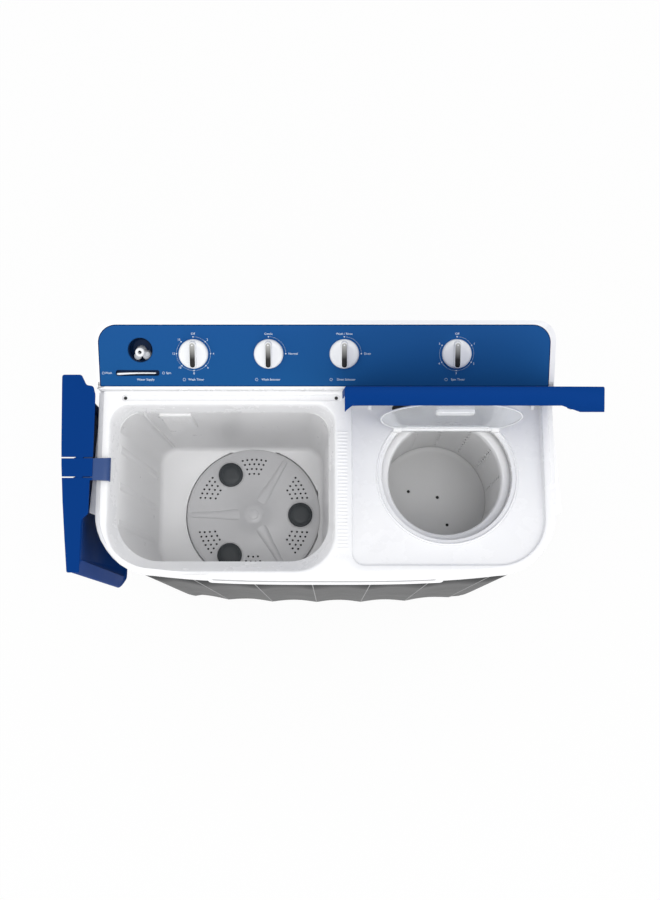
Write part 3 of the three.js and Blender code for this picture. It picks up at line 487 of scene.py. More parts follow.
def make_cabinet():
    def shell(shrink):
        return bowed(CABINET_HALF - shrink, 0, CABINET_BACK_Y - shrink, 26, 200, lambda x: fluted(x) + shrink)
    bm = bmesh.new()
    sweep(bm, stack(shell, [(1.2, 60.0), (0.0, 62.0), (0.0, 300.0), (0.0, 600.0), (0.0, 899.5)]))
    piece("cabinet_fluted_shell", bm, CABINET, replaces=["body_shell"], wall=3.5,
          sharp=50)

    bm = bmesh.new()
    # Thin beads along the flute ridges carry their painted highlight.
    bead = ((-1.5, 1.0), (-0.9, -0.5), (0.9, -0.5), (1.5, 1.0))
    for k in range(-3, 4):
        x = FLUTE_X0 + FLUTE_PITCH * k
        if abs(x) <= BOW_X:
            section = [Vector((x + dx, fluted(x) + dy, 0)) for dx, dy in bead]
            sweep(bm, [at_height(section, z) for z in (64, 898)], True, True)
    piece("cabinet_ridge_painted_highlights", bm, RIDGE_PAINTED_HIGHLIGHT)

    # The back cover is drawn lying down, then stood against the back.
    stand_up = Matrix(((-1, 0, 0, 0), (0, 0, 1, 0), (0, 1, 0, 0), (0, 0, 0, 1)))
    upright = Matrix.Translation((0, 505.3, 0)) @ stand_up
    bm = bmesh.new()
    rim = [(0, 12, 0), (0, 12, 1.4), (1.5, 11, 2.4), (16, 8, 2.4), (18, 7, 1.2)]
    rings = [at_height(box_outline(-392 + g, 392 - g, 100 + g, 572 - g, r), z) for g, r, z in rim]
    sweep(bm, rings, True, True)
    for i in range(14):
        low = 190 + i * LOUVRE_PITCH
        for x in (-250, 60):
            box(bm, x, x + 190, low, low + 7, 0.9, 2.5)
    piece("back_cover_louvred", bm, CABINET, replaces=["back_service_cover"],
          matrix=upright)

    bm = bmesh.new()
    for x in (-384, 0, 384):
        for z in (108, 336, 564):
            if x == 0 and z == 336:
                continue
            turned(bm, [(0, 3.2), (3.4, 3.0), (4.4, 2.2), (4.4, 1.2)], x, z, 16)
            box(bm, x - 3, x + 3, z - 0.5, z + 0.5, 2.8, 3.3)
    piece("back_cover_screws", bm, STEEL, matrix=upright)


# ---- top frame -----------------------------------------------------------------------------------
def deck_z(point):
    """The spin deck falls towards the back."""
    return 925 - 28 * clamp((point.y - 34) / 358)


def funnel(g):
    """The wash opening's edge at the rim, g wider all round."""
    return box_outline(-442 - g, 19 + g, 24 - g, 366 + g, (95 + g, 80 + g, 40 + g, 40 + g), 12)


def mouth(g):
    """The foot of the wash funnel, g wider all round."""
    return box_outline(-431 - g, 6.5 + g, 47 - g, 359 + g, (92 + g, 80 + g, 42 + g, 42 + g), 12)


def recess(g):
    """The spin recess, g narrower."""
    return box_outline(52 + g, 446 - g, 34 + g, 391 - g * 0.3, (26 - g, 98 - g, 9, 9), 12)


def rim_groove(g):
    """The long groove behind the wash opening, g narrower."""
    return box_outline(-421 + g, 31 - g, 372 + g, 388 - g, 7.9 - g)


def cut_circle(x, y, r, lift, chord=12):
    """A circle cut off straight behind, at the angle lift past its middle, always in as many points."""
    n = 72
    turn = math.pi + 2 * lift
    arc = [Vector((x + r * math.cos(math.pi - lift + turn * i / n),
                   y + r * math.sin(math.pi - lift + turn * i / n), 0)) for i in range(n + 1)]
    return arc + [arc[-1].lerp(arc[0], i / chord) for i in range(1, chord)]


def spin_ring(r):
    """The round of the spin opening."""
    x, y = SPIN
    behind = SPIN_CHORD_Y - 6 - y + (r - 134) * 0.7
    return cut_circle(x, y, r, math.asin(behind / r))


def make_grip_lip():
    """Long finger lip under the front of the frame, and a grey strip of painted shade above it for the
    groove's shadow.
    """
    section = [(1.6, 905.0), (-1.4, 904.9), (-3.0, 904.2), (-3.8, 902.8), (-3.4, 901.0), (-1.8, 900.0),
               (1.2, 899.9)]
    root, middle = 1.6, 902
    stations = [(-238, 0.1), (-236.5, 0.55), (-234, 0.85), (-230, 1.0)]
    stations += [(x, 1.0) for x in range(-215, 230, 15)]
    stations += [(231, 1.0), (235, 0.85), (237.5, 0.55), (239, 0.1)]
    rings = []
    for x, k in stations:
        base = SKIRT_FRONT_Y + bow(x) + root
        rings.append([Vector((x, base + (y - root) * k, middle + (z - middle) * k)) for y, z in section])
    bm = bmesh.new()
    sweep(bm, rings, True, True)
    piece("front_finger_lip", bm, WHITE, sharp=60)

    # A grey strip on the skirt is painted shade where the groove above the lip lies in shadow.
    bm = bmesh.new()
    slope = ((0.9, 905.2), (1.5, 908.2), (2.2, 911.2))
    rows = [[Vector((x, SKIRT_FRONT_Y + bow(x) + out, z)) for out, z in slope] for x in range(-228, 231, 9)]
    for a, b in zip(rows, rows[1:]):
        for k in range(2):
            bm.faces.new([bm.verts.new(p) for p in (a[k], b[k], b[k + 1], a[k + 1])])
    piece("front_finger_groove_shadow", bm, GROOVE_PAINTED_SHADE, sharp=60)


def make_frame_moulding():
    """Rim, wash funnel, back groove and spin recess in one skin."""
    bm = bmesh.new()
    profile = [(3.2, 5.2, 900.2), (0, 2, 900), (0, 5.5, 915.5), (0.5, 6.4, 918), (2, 7.4, 919.4),
               (9.8, 8.4, 920.4), (10.8, 9.0, 921.6), (11.2, 10.0, 927), (12.0, 11.2, 929.2),
               (14.4, 13.4, RIM_Z)]
    outer = sweep(bm, [at_height(bowed(RIM_HALF - g, y, DECK_BACK_Y), z) for g, y, z in profile])[1]

    rings = stack(funnel, [(6, RIM_Z), (3, 929.8), (1, 929), (-0.6, 926.5)])
    for share, z in [(0.3, 914), (0.62, 898), (0.9, 886), (1.0, 881.5)]:
        upper, lower = at_height(funnel(-0.6), z), at_height(mouth(0), z)
        rings.append([a.lerp(b, share) for a, b in zip(upper, lower)])
    wash_edge = sweep(bm, rings + stack(mouth, [(0.8, 880.2), (3.5, 880.2)]))[0]

    rings = stack(rim_groove, [(0, RIM_Z), (0.8, 929.6), (1.6, 928.2), (2.2, 924)])
    groove_edge = sweep(bm, rings, close_last=True)[0]

    rings = stack(recess, [(0, RIM_Z), (1.0, 929.4), (2, lambda p: min(927.5, deck_z(p) + 2.4)),
                           (3.4, lambda p: deck_z(p) + 0.7), (6, deck_z)])
    recess_edge, floor_edge = sweep(bm, rings)

    rings = []
    for r, rise in [(148.5, 0), (147.2, 0.2), (146.6, -0.9), (145.8, -0.9), (145.2, 0.4), (143.8, 1.3),
                    (142.4, 0.8), (141.8, -0.8)]:
        rings.append(at_height(spin_ring(r), lambda p: deck_z(p) + rise))
    for r, rise in [(141.7, 0), (140.8, -0.9), (135.4, -0.9), (134.2, -1.8), (134, -4)]:
        rings.append(at_height(spin_ring(r), lambda p: min(LEDGE_TOP_Z, deck_z(p) - 1.4) + rise))
    rings.append(at_height(spin_ring(133.8), 889))
    spin_edge = sweep(bm, rings)[0]

    fill_between(bm, outer, wash_edge, groove_edge, recess_edge)
    fill_between(bm, floor_edge, spin_edge)
    piece("top_frame_moulding", bm, WHITE, replaces=["top_frame"], wall=1.0, sharp=40,
          face_up=True)


def make_top_frame():
    make_frame_moulding()
    make_grip_lip()

    for side, name in ((-1, "left"), (1, "right")):
        bm = bmesh.new()
        wing = [(465.3, 140, 0), (468, 140, 0), (486, 146, 1.5), (470, 392, 0), (465.3, 392, 0)]
        slab(bm, outline([(side * x, y, r) for x, y, r in wing], 4), 882, 892)
        box(bm, *sorted((side * 465.3, side * 468.8)), 140.2, 392.5, 882, 900.5)
        piece(f"side_flange_{name}", bm, WHITE, soften=1.2)

    bm = bmesh.new()
    for i in range(34):
        y = 68 + i * RIB_PITCH
        foot = box_outline(24, 45, y, y + 3.4, 1.6, 3)
        crown = [p.lerp(Vector((34.5, y + 1.7, 0)), 0.12) + Vector((0, 0, 931.2)) for p in foot]
        sweep(bm, [at_height(foot, 929.9), at_height(foot, 930.9), crown], close_last=True)
    for k in range(13):
        x, y = polar((21, 56), 6, math.radians(20 * k - 120))
        box(bm, x - 0.8, x + 0.8, y - 0.8, y + 0.8, 929.8, 930.7)
    piece("divider_ribs", bm, WHITE)

    for x, name in ((88, "left"), (426, "right")):
        bm = bmesh.new()
        profile = outline([(360, 897, 0), (391.5, 893, 0), (391.5, 948, 5), (379, 948, 5)], 5)
        sweep(bm, [[Vector((x + t, p.x, p.y)) for p in profile] for t in (0, 8)], True, True)
        piece(f"lid_hinge_lug_{name}", bm, WHITE, soften=1.0)

    # Dark discs of painted shadow stand for the holes at the groove's ends.
    bm = bmesh.new()
    for x in (-413, 22):
        turned(bm, [(0, 925.2), (3.4, 925.2), (3.6, 924.4)], x, 380, 20)
    piece("rim_groove_hole_shadows", bm, HOLE_PAINTED_SHADOW)

    # A dark plate of painted shadow on the deck stands for the lid interlock slot.
    bm = bmesh.new()
    slab(bm, box_outline(138, 202, 358, 370, 5.5), 0, 0.5)
    for vert in bm.verts:
        vert.co.z += deck_z(vert.co) + 0.1
    piece("interlock_slot_shadow", bm, HOLE_PAINTED_SHADOW)


# ---- wash tub ------------------------------------------------------------------------------------
def tub_section(share, g=0.0):
    """Inside outline of the wash tub, from its floor (0) to its mouth (1), g wider all round."""
    left = -405 - 26 * share - g
    right = -8 + 14.5 * share + g
    back_r = 42 + 3 * share
    return box_outline(left, right, 30 - g, 359 + g, (95 + 5 * share, 75 + 5 * share, back_r, back_r), 12)


def make_wash_tub():
    bm = bmesh.new()
    top, foot_r = 879.4, 12
    rings = [at_height(tub_section(1, g), z) for g, z in ((3.6, top), (0.8, top), (0.0, top - 1))]
    for share in (0.75, 0.5, 0.25, 0.05):
        rings.append(at_height(tub_section(share), TUB_FLOOR_Z + (top - TUB_FLOOR_Z) * share))
    for k in range(1, 6):
        angle = math.radians(18 * k)
        inward = foot_r * (1 - math.cos(angle))
        rings.append(at_height(tub_section(0, -inward), TUB_FLOOR_Z + foot_r * (1 - math.sin(angle))))
    floor_edge = sweep(bm, rings)[1]
    well = [(165.5, TUB_FLOOR_Z), (164.6, 479.6), (163.6, 478.4), (163.4, 464)]
    well_edge = sweep(bm, discs(PULSATOR, well), close_last=True)[0]
    fill_between(bm, floor_edge, well_edge)
    piece("wash_tub_liner", bm, TUB, replaces=["wash_tub"], wall=2.4, sharp=35)


def make_tub_details():
    """Faint upright swages on the left wall and the flush filter cover in the back left corner."""
    bm = bmesh.new()
    for y in (128, 206, 284):
        low = Vector((-407.6, y, 520))
        high = Vector((-429.7, y, 860))
        tip = Vector((-0.4, 0, 6))
        rings = [[at + Vector((p.x * k, p.y * 1.8, 0)) for p in circle(0, 0, 4.5, 12)]
                 for at, k in ((low, 0.15), (low + tip, 0.42), (high, 0.42), (high + tip, 0.15))]
        sweep(bm, rings, True, True)
    piece("tub_wall_swages", bm, TUB, sharp=60)

    def cover(g):
        return outline([(-352 + g, 648 + g * 1.4, 6), (-284 - g, 742 + g * 0.6, 8), (-284 - g, 869 - g, 4),
                        (-352 + g, 869 - g, 4)], 5)
    to_back_wall = Matrix.Translation((0, 359, 0)) @ Matrix.Rotation(math.radians(90), 4, "X")
    bm = bmesh.new()
    sweep(bm, stack(cover, [(0, -1), (0, 3.2), (1.2, 4.6), (3, 5.0)]), close_last=True)
    for k in range(5):
        x = -340 + k * 11.5
        slab(bm, box_outline(x, x + 3.4, 778, 842, 1.6, 3), 4.9, 5.6)
    piece("filter_cover_flush", bm, TUB, replaces=["overflow_filter_cover"],
          matrix=to_back_wall)

    bm = bmesh.new()
    rings = []
    for share, k in ((0.02, 0.2), (0.04, 1), (0.96, 1), (0.98, 0.2)):
        at = Vector((-371 - 12 * share, 358.5, 482 + 396 * share))
        rings.append([at + Vector((p.x * k, p.y * k, 0)) for p in circle(0, 0, 3.4, 12)])
    sweep(bm, rings, True, True)
    piece("tub_corner_bead", bm, TUB, sharp=60)


# ---- pulsator ------------------------------------------------------------------------------------
def water_holes():
    """Six fans of small holes, each four rows deep, between the caps and the ribs."""
    holes = []
    for k in range(6):
        middle = math.radians(30 + 60 * k)
        for r, count in [(136, 6), (125, 5), (113, 4), (101, 3)]:
            for i in range(count):
                holes.append(polar(PULSATOR, r, middle + (i - (count - 1) / 2) * HOLE_PITCH / r))
    return holes


def make_pulsator():
    px, py = PULSATOR
    deck = PULSATOR_DECK_Z
    caps = [polar(PULSATOR, CAP_RING_R, math.radians(120 * k)) for k in range(3)]
    bm = bmesh.new()
    rim = [(150, 470), (160.8, 471), (PULSATOR_R, 474), (PULSATOR_R, 481), (160.8, 483), (159, 483.8),
           (155, deck)]
    rim_edge = sweep(bm, discs(PULSATOR, rim), close_first=True)[1]
    hub = [(90, deck), (70, 484.6), (50, 487), (34, 491), (26, 495), (20, 497.4), (12, 498.4)]
    hub_edge = sweep(bm, discs(PULSATOR, hub), close_last=True)[0]
    hole = [(3.0, deck), (2.6, deck - 0.5), (2.5, deck - 3)]
    holes = [sweep(bm, discs(at, hole, 8), close_last=True)[0] for at in water_holes()]
    seat = [(33.4, deck), (32.4, 484.6), (31.6, 485.8), (30.8, 486.2), (30.2, 486.2), (29.8, 485.6),
            (29.8, 485)]
    seats = [sweep(bm, discs(at, seat, 48), close_last=True)[0] for at in caps]
    fill_between(bm, rim_edge, hub_edge, *holes, *seats)
    # The floors of the water holes take the second finish, a near-black painted shadow.
    for face in bm.faces:
        middle = face.calc_center_median()
        if 2.7 > max((v.co.xy - middle.xy).length for v in face.verts):
            face.material_index = int(middle.z < deck - 2)
    piece("pulsator_disc", bm, [PULSATOR_GREY, HOLE_PAINTED_SHADOW], "wash_rotor", ["pulsator"], sharp=40)

    bm = bmesh.new()
    stations = [(14, 20, 1.6, 490), (40, 15, 2.4, 488.6), (80, 11, 2.6, 484.4), (120, 9, 2.6, deck),
                (146, 8, 2, deck), (153, 6, 0.4, deck)]
    for k in range(3):
        turn = Matrix.Translation((px, py, 0)) @ Matrix.Rotation(math.radians(60 + 120 * k), 4, "Z")
        rings = []
        for x, half, rise, base in stations:
            arch = [(-1, -1.5), (-0.8, rise * 0.45), (-0.45, rise * 0.85), (0, rise), (0.45, rise * 0.85),
                    (0.8, rise * 0.45), (1, -1.5)]
            rings.append([turn @ Vector((x, half * across, base + up)) for across, up in arch])
        sweep(bm, rings, True, True)
    piece("pulsator_ribs", bm, PULSATOR_GREY, "wash_rotor", sharp=60)

    dish = [(0, 489.0), (12, 489.0), (23, 488.6), (24, 487.9), (25, 488.5), (28.2, 488.0), (29.3, 487),
            (29.5, 485.2)]
    for k, (x, y) in enumerate(caps, 1):
        bm = bmesh.new()
        turned(bm, dish, x, y, 64)
        piece(f"pulsator_cap_{k}_dished", bm, CAP, "wash_rotor", [f"pulsator_cap_{k}"])
    bm = bmesh.new()
    turned(bm, [(0, 500.4), (9, 500.2), (12.5, 499.2), (13.4, 497)], px, py, 48)
    piece("pulsator_hub_cap", bm, PULSATOR_GREY, "wash_rotor")


# ---- spin basket ---------------------------------------------------------------------------------
def make_basket_wall():
    """The wall starts as a flat grid; bevelled vertices open its drain holes, then it is rolled up."""
    low, high = 536.0, 862.0
    columns, rows = 84, 23
    round_length = 2 * math.pi * BASKET_R
    stretch = 1.7
    bm = bmesh.new()
    bmesh.ops.create_grid(bm, x_segments=columns, y_segments=rows, size=0.5)
    bmesh.ops.scale(bm, verts=bm.verts, vec=(round_length, (high - low) / stretch, 1))
    drilled = []
    for vert in bm.verts:
        column = round((vert.co.x / round_length + 0.5) * columns)
        row = round((vert.co.y * stretch / (high - low) + 0.5) * rows)
        if column % 6 == 2 and row % 2 == 0 and 2 <= row <= 18:
            drilled.append(vert)
    bmesh.ops.bevel(bm, geom=drilled, offset=5.2, offset_type="OFFSET", segments=2, profile=0.5,
                    affect="VERTICES", material=-1)
    bmesh.ops.delete(bm, geom=[f for f in bm.faces if f.calc_area() < 15], context="FACES")
    for vert in bm.verts:
        x, y = polar(SPIN, BASKET_R, vert.co.x / BASKET_R + math.pi)
        vert.co = Vector((x, y, vert.co.y * stretch + (low + high) / 2))
    wall = piece("basket_drilled_wall", bm, BASKET_WALL_PAINTED_LIGHT, "spin_rotor", ["spin_basket"], sharp=45)
    skin = wall.modifiers.new("wall", "SOLIDIFY")
    skin.thickness = 0.003
    skin.offset = 0

    bm = bmesh.new()
    sweep(bm, discs(SPIN, [(133.6, 552), (133.6, 830)]))
    piece("basket_hole_shadows", bm, HOLE_PAINTED_SHADOW, "spin_rotor")


def make_basket():
    make_basket_wall()
    drains = ((196, 243), (265, 229), (287, 163))
    bm = bmesh.new()
    edge = sweep(bm, discs(SPIN, [(131.4, 548), (131, 541), (128, 536), (122, 533.4), (116, 533)]))[1]
    hole = [(4.6, 533), (3.8, 532.4), (3.6, 529.5)]
    fill_between(bm, edge, *[sweep(bm, discs(at, hole, 20), close_last=True)[0] for at in drains])
    piece("basket_floor", bm, BASKET, "spin_rotor", wall=2.0, face_up=True)

    bm = bmesh.new()
    for x, y in drains:
        turned(bm, [(0, 530.6), (3.7, 530.6)], x, y, 20)
    piece("basket_floor_hole_shadows", bm, HOLE_PAINTED_SHADOW, "spin_rotor")

    bm = bmesh.new()
    turned(bm, [(130.6, 838), (121.5, 840), (118.4, 844), (117.6, 852), (118, 862), (120, 868.4),
                (124, 871.4), (136, 871.8), (140, 870), (141, 866), (141, 842), (138, 837), (130.6, 838)],
           *SPIN, 96)
    piece("basket_balance_ring", bm, RING_GREY, "spin_rotor")


# ---- console -------------------------------------------------------------------------------------
def make_console_shell():
    rise = math.tan(PANEL_TILT)
    normal = Vector((0, -math.sin(PANEL_TILT), math.cos(PANEL_TILT)))

    def sloping(face):
        return face.calc_area() * (face.normal.dot(normal) > 0.98)
    bm = bmesh.new()
    slab(bm, box_outline(-467, 467, 394.3, 522.5, (2, 2, 40, 40), 12), 900.2, 1040)
    for point, direction in ((PANEL_ORIGIN, normal),
                             (Vector((0, 517, 950 + 119.5 * rise)), Vector((0, 0, 1)))):
        cut = bmesh.ops.bisect_plane(bm, geom=bm.verts[:] + bm.edges[:] + bm.faces[:], plane_co=point,
                                     plane_no=direction, clear_outer=True)["geom_cut"]
        bmesh.ops.edgeloop_fill(bm, edges=[g for g in cut if isinstance(g, bmesh.types.BMEdge)])
    bmesh.ops.recalc_face_normals(bm, faces=bm.faces)
    bmesh.ops.inset_region(bm, faces=[max(bm.faces, key=sloping)], thickness=14, depth=0,
                           use_even_offset=True)
    slope = max(bm.faces, key=sloping)
    sunk = bmesh.ops.extrude_face_region(bm, geom=[slope])["geom"]
    lids = [slope] + [g for g in sunk if isinstance(g, bmesh.types.BMFace)]
    bmesh.ops.delete(bm, geom=lids, context="FACES_ONLY")
    bmesh.ops.translate(bm, verts=[g for g in sunk if isinstance(g, bmesh.types.BMVert)], vec=normal * -3.4)
    piece("console_housing_shell", bm, WHITE, replaces=["console_housing"], soften=2.2)


def make_panel():
    """Blue film with the inlet recess and the selector's slot, in the panel's own frame."""
    bm = bmesh.new()
    panel = box_outline(-461, 456, 1, 128, (3, 3, 38, 38), 14)
    inner = box_outline(-459.2, 454.2, 2.8, 126.2, (2, 2, 36.4, 36.4), 14)
    face_finish, painted_shade_finish, edge_finish = 0, 1, 2
    outer = sweep(bm, [at_height(panel, -3), at_height(panel, 0), at_height(inner, 0.5)])[1]
    for face in bm.faces:
        face.material_index = edge_finish
    bowl = [(26.4, 0.5), (25.0, -0.9), (24.0, -3.2), (23.2, -12), (22.4, -22), (18, -27)]
    inlet = sweep(bm, discs(INLET, bowl, 64), close_last=True)[0]

    def slot(g):
        x, s = ROCKER
        return box_outline(x - 44 - g, x + 44 + g, s - 5.5 - g, s + 5.5 + g, 4 + g)
    slot_edge = sweep(bm, stack(slot, [(1.2, 0.5), (0.2, -0.5), (0, -9)]), close_last=True)[0]
    fill_between(bm, outer, inlet, slot_edge)
    # Film faces sunk below the panel take the dark blue of painted shade.
    for face in bm.faces:
        if face.material_index == face_finish and face.calc_center_median().z < -1.5:
            face.material_index = painted_shade_finish
    piece("control_panel_film", bm, [PANEL_BLUE, RECESS_PAINTED_SHADE, PANEL_EDGE],
          replaces=["control_panel"], matrix=ON_PANEL, sharp=30)

    ix, up = INLET[0] - 1.5, INLET[1] - 5
    bm = bmesh.new()
    spout = [(3.6, -16), (3.8, -1.6), (4.8, -0.6), (7.6, -0.6), (9.2, -2.0), (9.6, -8), (11, -26)]
    turned(bm, spout, ix, up, 40)
    piece("inlet_nozzle", bm, KNOB_WHITE, replaces=["water_inlet_nozzle"], matrix=ON_PANEL)
    bm = bmesh.new()
    for dx, ds, r in ((-5.5, -9.5, 8.0), (12.5, -7.5, 9.0)):
        turned(bm, [(0, -7.4), (r * 0.55, -7.7), (r * 0.86, -9.2), (r, -12), (r, -26)], ix + dx, up + ds, 32)
    piece("inlet_nozzle_lobes", bm, NOZZLE_GREY, matrix=ON_PANEL)


def make_console():
    make_console_shell()
    make_panel()
    make_rocker()
    for name, x in KNOB_X.items():
        make_knob(name, x)
    make_dials()


def make_rocker():
    """A bright strip bent up at its left end, resting in the slot."""
    x, s = ROCKER
    stations = [(-43.5, 8.8, 1.6), (-41.5, 9.6, 3.0), (-38, 8.9, 3.4), (-28, 6.2, 3.2), (-16, 3.0, 3.0),
                (-4, 0.6, 2.8), (10, -0.6, 2.6), (24, -0.3, 2.6), (36, 0.2, 2.5), (39.5, 0.1, 1.6)]
    rings = []
    for dx, z, half in stations:
        rings.append([Vector((x + dx * 0.94, s - 0.8 + half * 0.62 * math.cos(a), z - 3 + 1.4 * math.sin(a)))
                      for a in [2 * math.pi * k / 14 for k in range(14)]])
    bm = bmesh.new()
    sweep(bm, rings, True, True)
    piece("water_selector_strip", bm, KNOB_WHITE, "water_selector_lever",
          ["water_selector_lever"], matrix=ON_PANEL, sharp=60)


def make_knob(name, x):
    """Round skirt, a raised grip across it, the insert in the grip with its painted reflection and shade, and
    a pointer dot.
    """
    def grip(steps):
        return [at_height(box_outline(x - half, x + half, KNOB_S - reach, KNOB_S + reach, half * 0.96, 6), z)
                for reach, z, half in steps]
    rider = f"{name}_knob"
    bm = bmesh.new()
    turned(bm, [(0, 12.2), (18, 12.0), (25, 11.3), (28, 9.8), (29.4, 7.4), (30, 4), (30, 1.2), (29, 0.8)],
           x, KNOB_S, 72)
    sweep(bm, grip([(28.2, 11.2, 7.6), (27.8, 14, 7.2), (27.2, 18, 6.9), (26.6, 21.4, 6.6), (26.0, 22.4, 6.2),
                    (25.2, 22.7, 5.6)]), close_last=True)
    piece(f"{name}_knob_body", bm, KNOB_WHITE, rider, [f"{name}_knob"], matrix=ON_PANEL,
          sharp=50)
    bm = bmesh.new()
    sweep(bm, grip([(25.0, 22.5, 5.3), (24.6, 23.3, 4.9), (23.4, 23.6, 3.8)]), close_last=True)
    piece(f"{name}_knob_insert", bm, GRIP_PAINTED_REFLECTION, rider, matrix=ON_PANEL)
    bm = bmesh.new()
    turned(bm, [(0, 23.9), (1.3, 23.9), (1.6, 23.5)], x, KNOB_S + 20.5, 16)
    piece(f"{name}_knob_dot", bm, KNOB_WHITE, rider, matrix=ON_PANEL)

def lettering(bm, text, size, x, s, align="CENTER"):
    """Adds flat lettering to a bmesh, in the panel's own frame."""
    curve = bpy.data.curves.new("lettering", "FONT")
    curve.body = text
    curve.size = size
    curve.align_x = align
    curve.align_y = "CENTER"
    curve.resolution_u = 3
    holder = bpy.data.objects.new("lettering", curve)
    mesh = holder.to_mesh()
    mesh.transform(Matrix.Translation((x, s, PRINT_Z)))
    bm.from_mesh(mesh)
    holder.to_mesh_clear()
    bpy.data.objects.remove(holder)
    bpy.data.curves.remove(curve)


def arc_line(bm, x, s, r, start, end, width=0.14):
    """A thin printed arc, clockwise from the top in degrees."""
    steps = max(8, int(abs(end - start) / 5))
    rows = []
    for k in range(steps + 1):
        a = math.radians(90 - (start + (end - start) * k / steps))
        rows.append([bm.verts.new((*polar((x, s), r + w, a), PRINT_Z)) for w in (-width, width)])
    for a, b in zip(rows, rows[1:]):
        bm.faces.new((a[0], a[1], b[1], b[0]))


def make_dials():
    """Printed dots, words and arc round each knob, and the title under it."""
    dials = {
        "wash_timer": (45, ["Off", "2", "4", "6", "8", "10", "12", "15"], "Wash Timer"),
        "wash_selector": (90, ["Gentle", "Normal"], "Wash Selector"),
        "drain_selector": (90, ["Wash / Rinse", "Drain"], "Drain Selector"),
        "spin_timer": (60, ["Off", "1", "2", "3", "4", "5"], "Spin Timer"),
    }
    for name, (step, words, title) in dials.items():
        x = KNOB_X[name]
        bm = bmesh.new()
        for k, word in enumerate(words):
            a = math.radians(90 - step * k)
            dot = Matrix.Translation((*polar((x, KNOB_S), DIAL_R, a), PRINT_Z))
            bmesh.ops.create_circle(bm, cap_ends=True, radius=1.3, segments=12, matrix=dot)
            reach, align = (40, "LEFT") if len(word) > 2 and k > 0 else (WORD_R, "CENTER")
            lettering(bm, word, WORD_SIZE, x + reach * math.cos(a), KNOB_S + WORD_R * math.sin(a), align)
        end = step * (len(words) - 1) if len(words) > 2 else 90
        arc_line(bm, x, KNOB_S, DIAL_R, 4, end - 4)
        lettering(bm, title, TITLE_SIZE, x + 4, TITLE_S)
        arc_line(bm, x - 4 - len(title) * 1.62, TITLE_S, 2.6, 0, 360, 0.25)
        piece(f"{name}_markings", bm, PRINT, matrix=ON_PANEL)

    x, s = ROCKER
    bm = bmesh.new()
    lettering(bm, "Wash", WORD_SIZE, x - 52, s, "RIGHT")
    lettering(bm, "Spin", WORD_SIZE, x + 58, s, "LEFT")
    lettering(bm, "Water Supply", TITLE_SIZE, x + 16, TITLE_S)
    for dx in (-70, 53):
        arc_line(bm, x + dx, s, 2.4, 0, 360, 0.25)
    piece("water_selector_markings", bm, PRINT, matrix=ON_PANEL)


# ---- wash lid ------------------------------------------------------------------------------------
def make_wash_lid():
    """Built closed with the hinge at the origin, then hung over the left side."""
    end, top = 527.0, 16.0

    def margin(p):
        """The lid's top, which slopes down along its front margin."""
        return top - 11 * clamp((45 - p.y) / 24)

    def plan(g):
        return outline([(-9 + g, 20 + g, 6), (end - g, 20 + g, 40 - g), (end - g, 388 - g, 30 - g),
                        (-9 + g, 388 - g, 5), (-9 + g, 45, 0)], 10)

    def field(g):
        return box_outline(10 + g, 500 - g, 46 + g, 368 - g, (4, 26, 20, 8), 8)
    bm = bmesh.new()
    rings = [at_height(plan(0), 0.6)]
    for g, down in ((0, 3.2), (0.6, 1.4), (1.8, 0.4), (3.6, 0)):
        rings.append(at_height(plan(g), lambda p: margin(p) - down))
    outer = sweep(bm, rings)[1]
    inner = sweep(bm, stack(field, [(0, top), (1.2, top - 0.5), (2.6, top - 1.6)]), close_last=True)[0]
    fill_between(bm, outer, inner)
    piece("wash_lid_plate", bm, LID_BLUE, "wash_lid", ["wash_lid"], matrix=WASH_HUNG, wall=2.4)

    edge = [(426, -35, 5), (340, -33, 60), (282, -30.5, 0), (237, -28.5, 0), (162, -23, 0), (88, -16, 0),
            (20, -9, 3), (20, 15.8, 2), (126, 15.8, 6), (138, 30, 4), (206, 30, 0), (206.5, 35, 1),
            (384, 35, 4), (402, 30, 4), (404, 16, 4), (426, 5, 4)]
    shape = outline(edge, 5)
    bm = bmesh.new()
    sweep(bm, [[Vector((r, p.x, p.y)) for p in shape] for r in (-9.3, -6.4)], True, True)
    # Two slits let the flange pass the bracket's cheeks.
    slits = ((211.1, 213.7), (251.3, 253.9))
    for y in slits[0] + slits[1]:
        whole = bm.verts[:] + bm.edges[:] + bm.faces[:]
        cut = bmesh.ops.bisect_plane(bm, geom=whole, plane_co=(0, y, 0), plane_no=(0, 1, 0))["geom_cut"]
        bmesh.ops.split_edges(bm, edges=[g for g in cut if isinstance(g, bmesh.types.BMEdge)])
    gaps = [f for f in bm.faces if any(low < f.calc_center_median().y < high for low, high in slits)]
    bmesh.ops.delete(bm, geom=gaps, context="FACES")
    bmesh.ops.holes_fill(bm, edges=bm.edges, sides=8)
    piece("wash_lid_flange", bm, LID_BLUE, "wash_lid", matrix=WASH_HUNG, soften=0.9)

    bm = bmesh.new()
    for x in (70, 170, 270, 370, 460):
        box(bm, x - 1, x + 1, 50, 384, 9.5, 13.8)
    for y in (110, 206, 300):
        box(bm, -4, 480, y - 1, y + 1, 9.5, 13.8)
    piece("wash_lid_under_ribs", bm, LID_BLUE, "wash_lid", matrix=WASH_HUNG, soften=0.5)


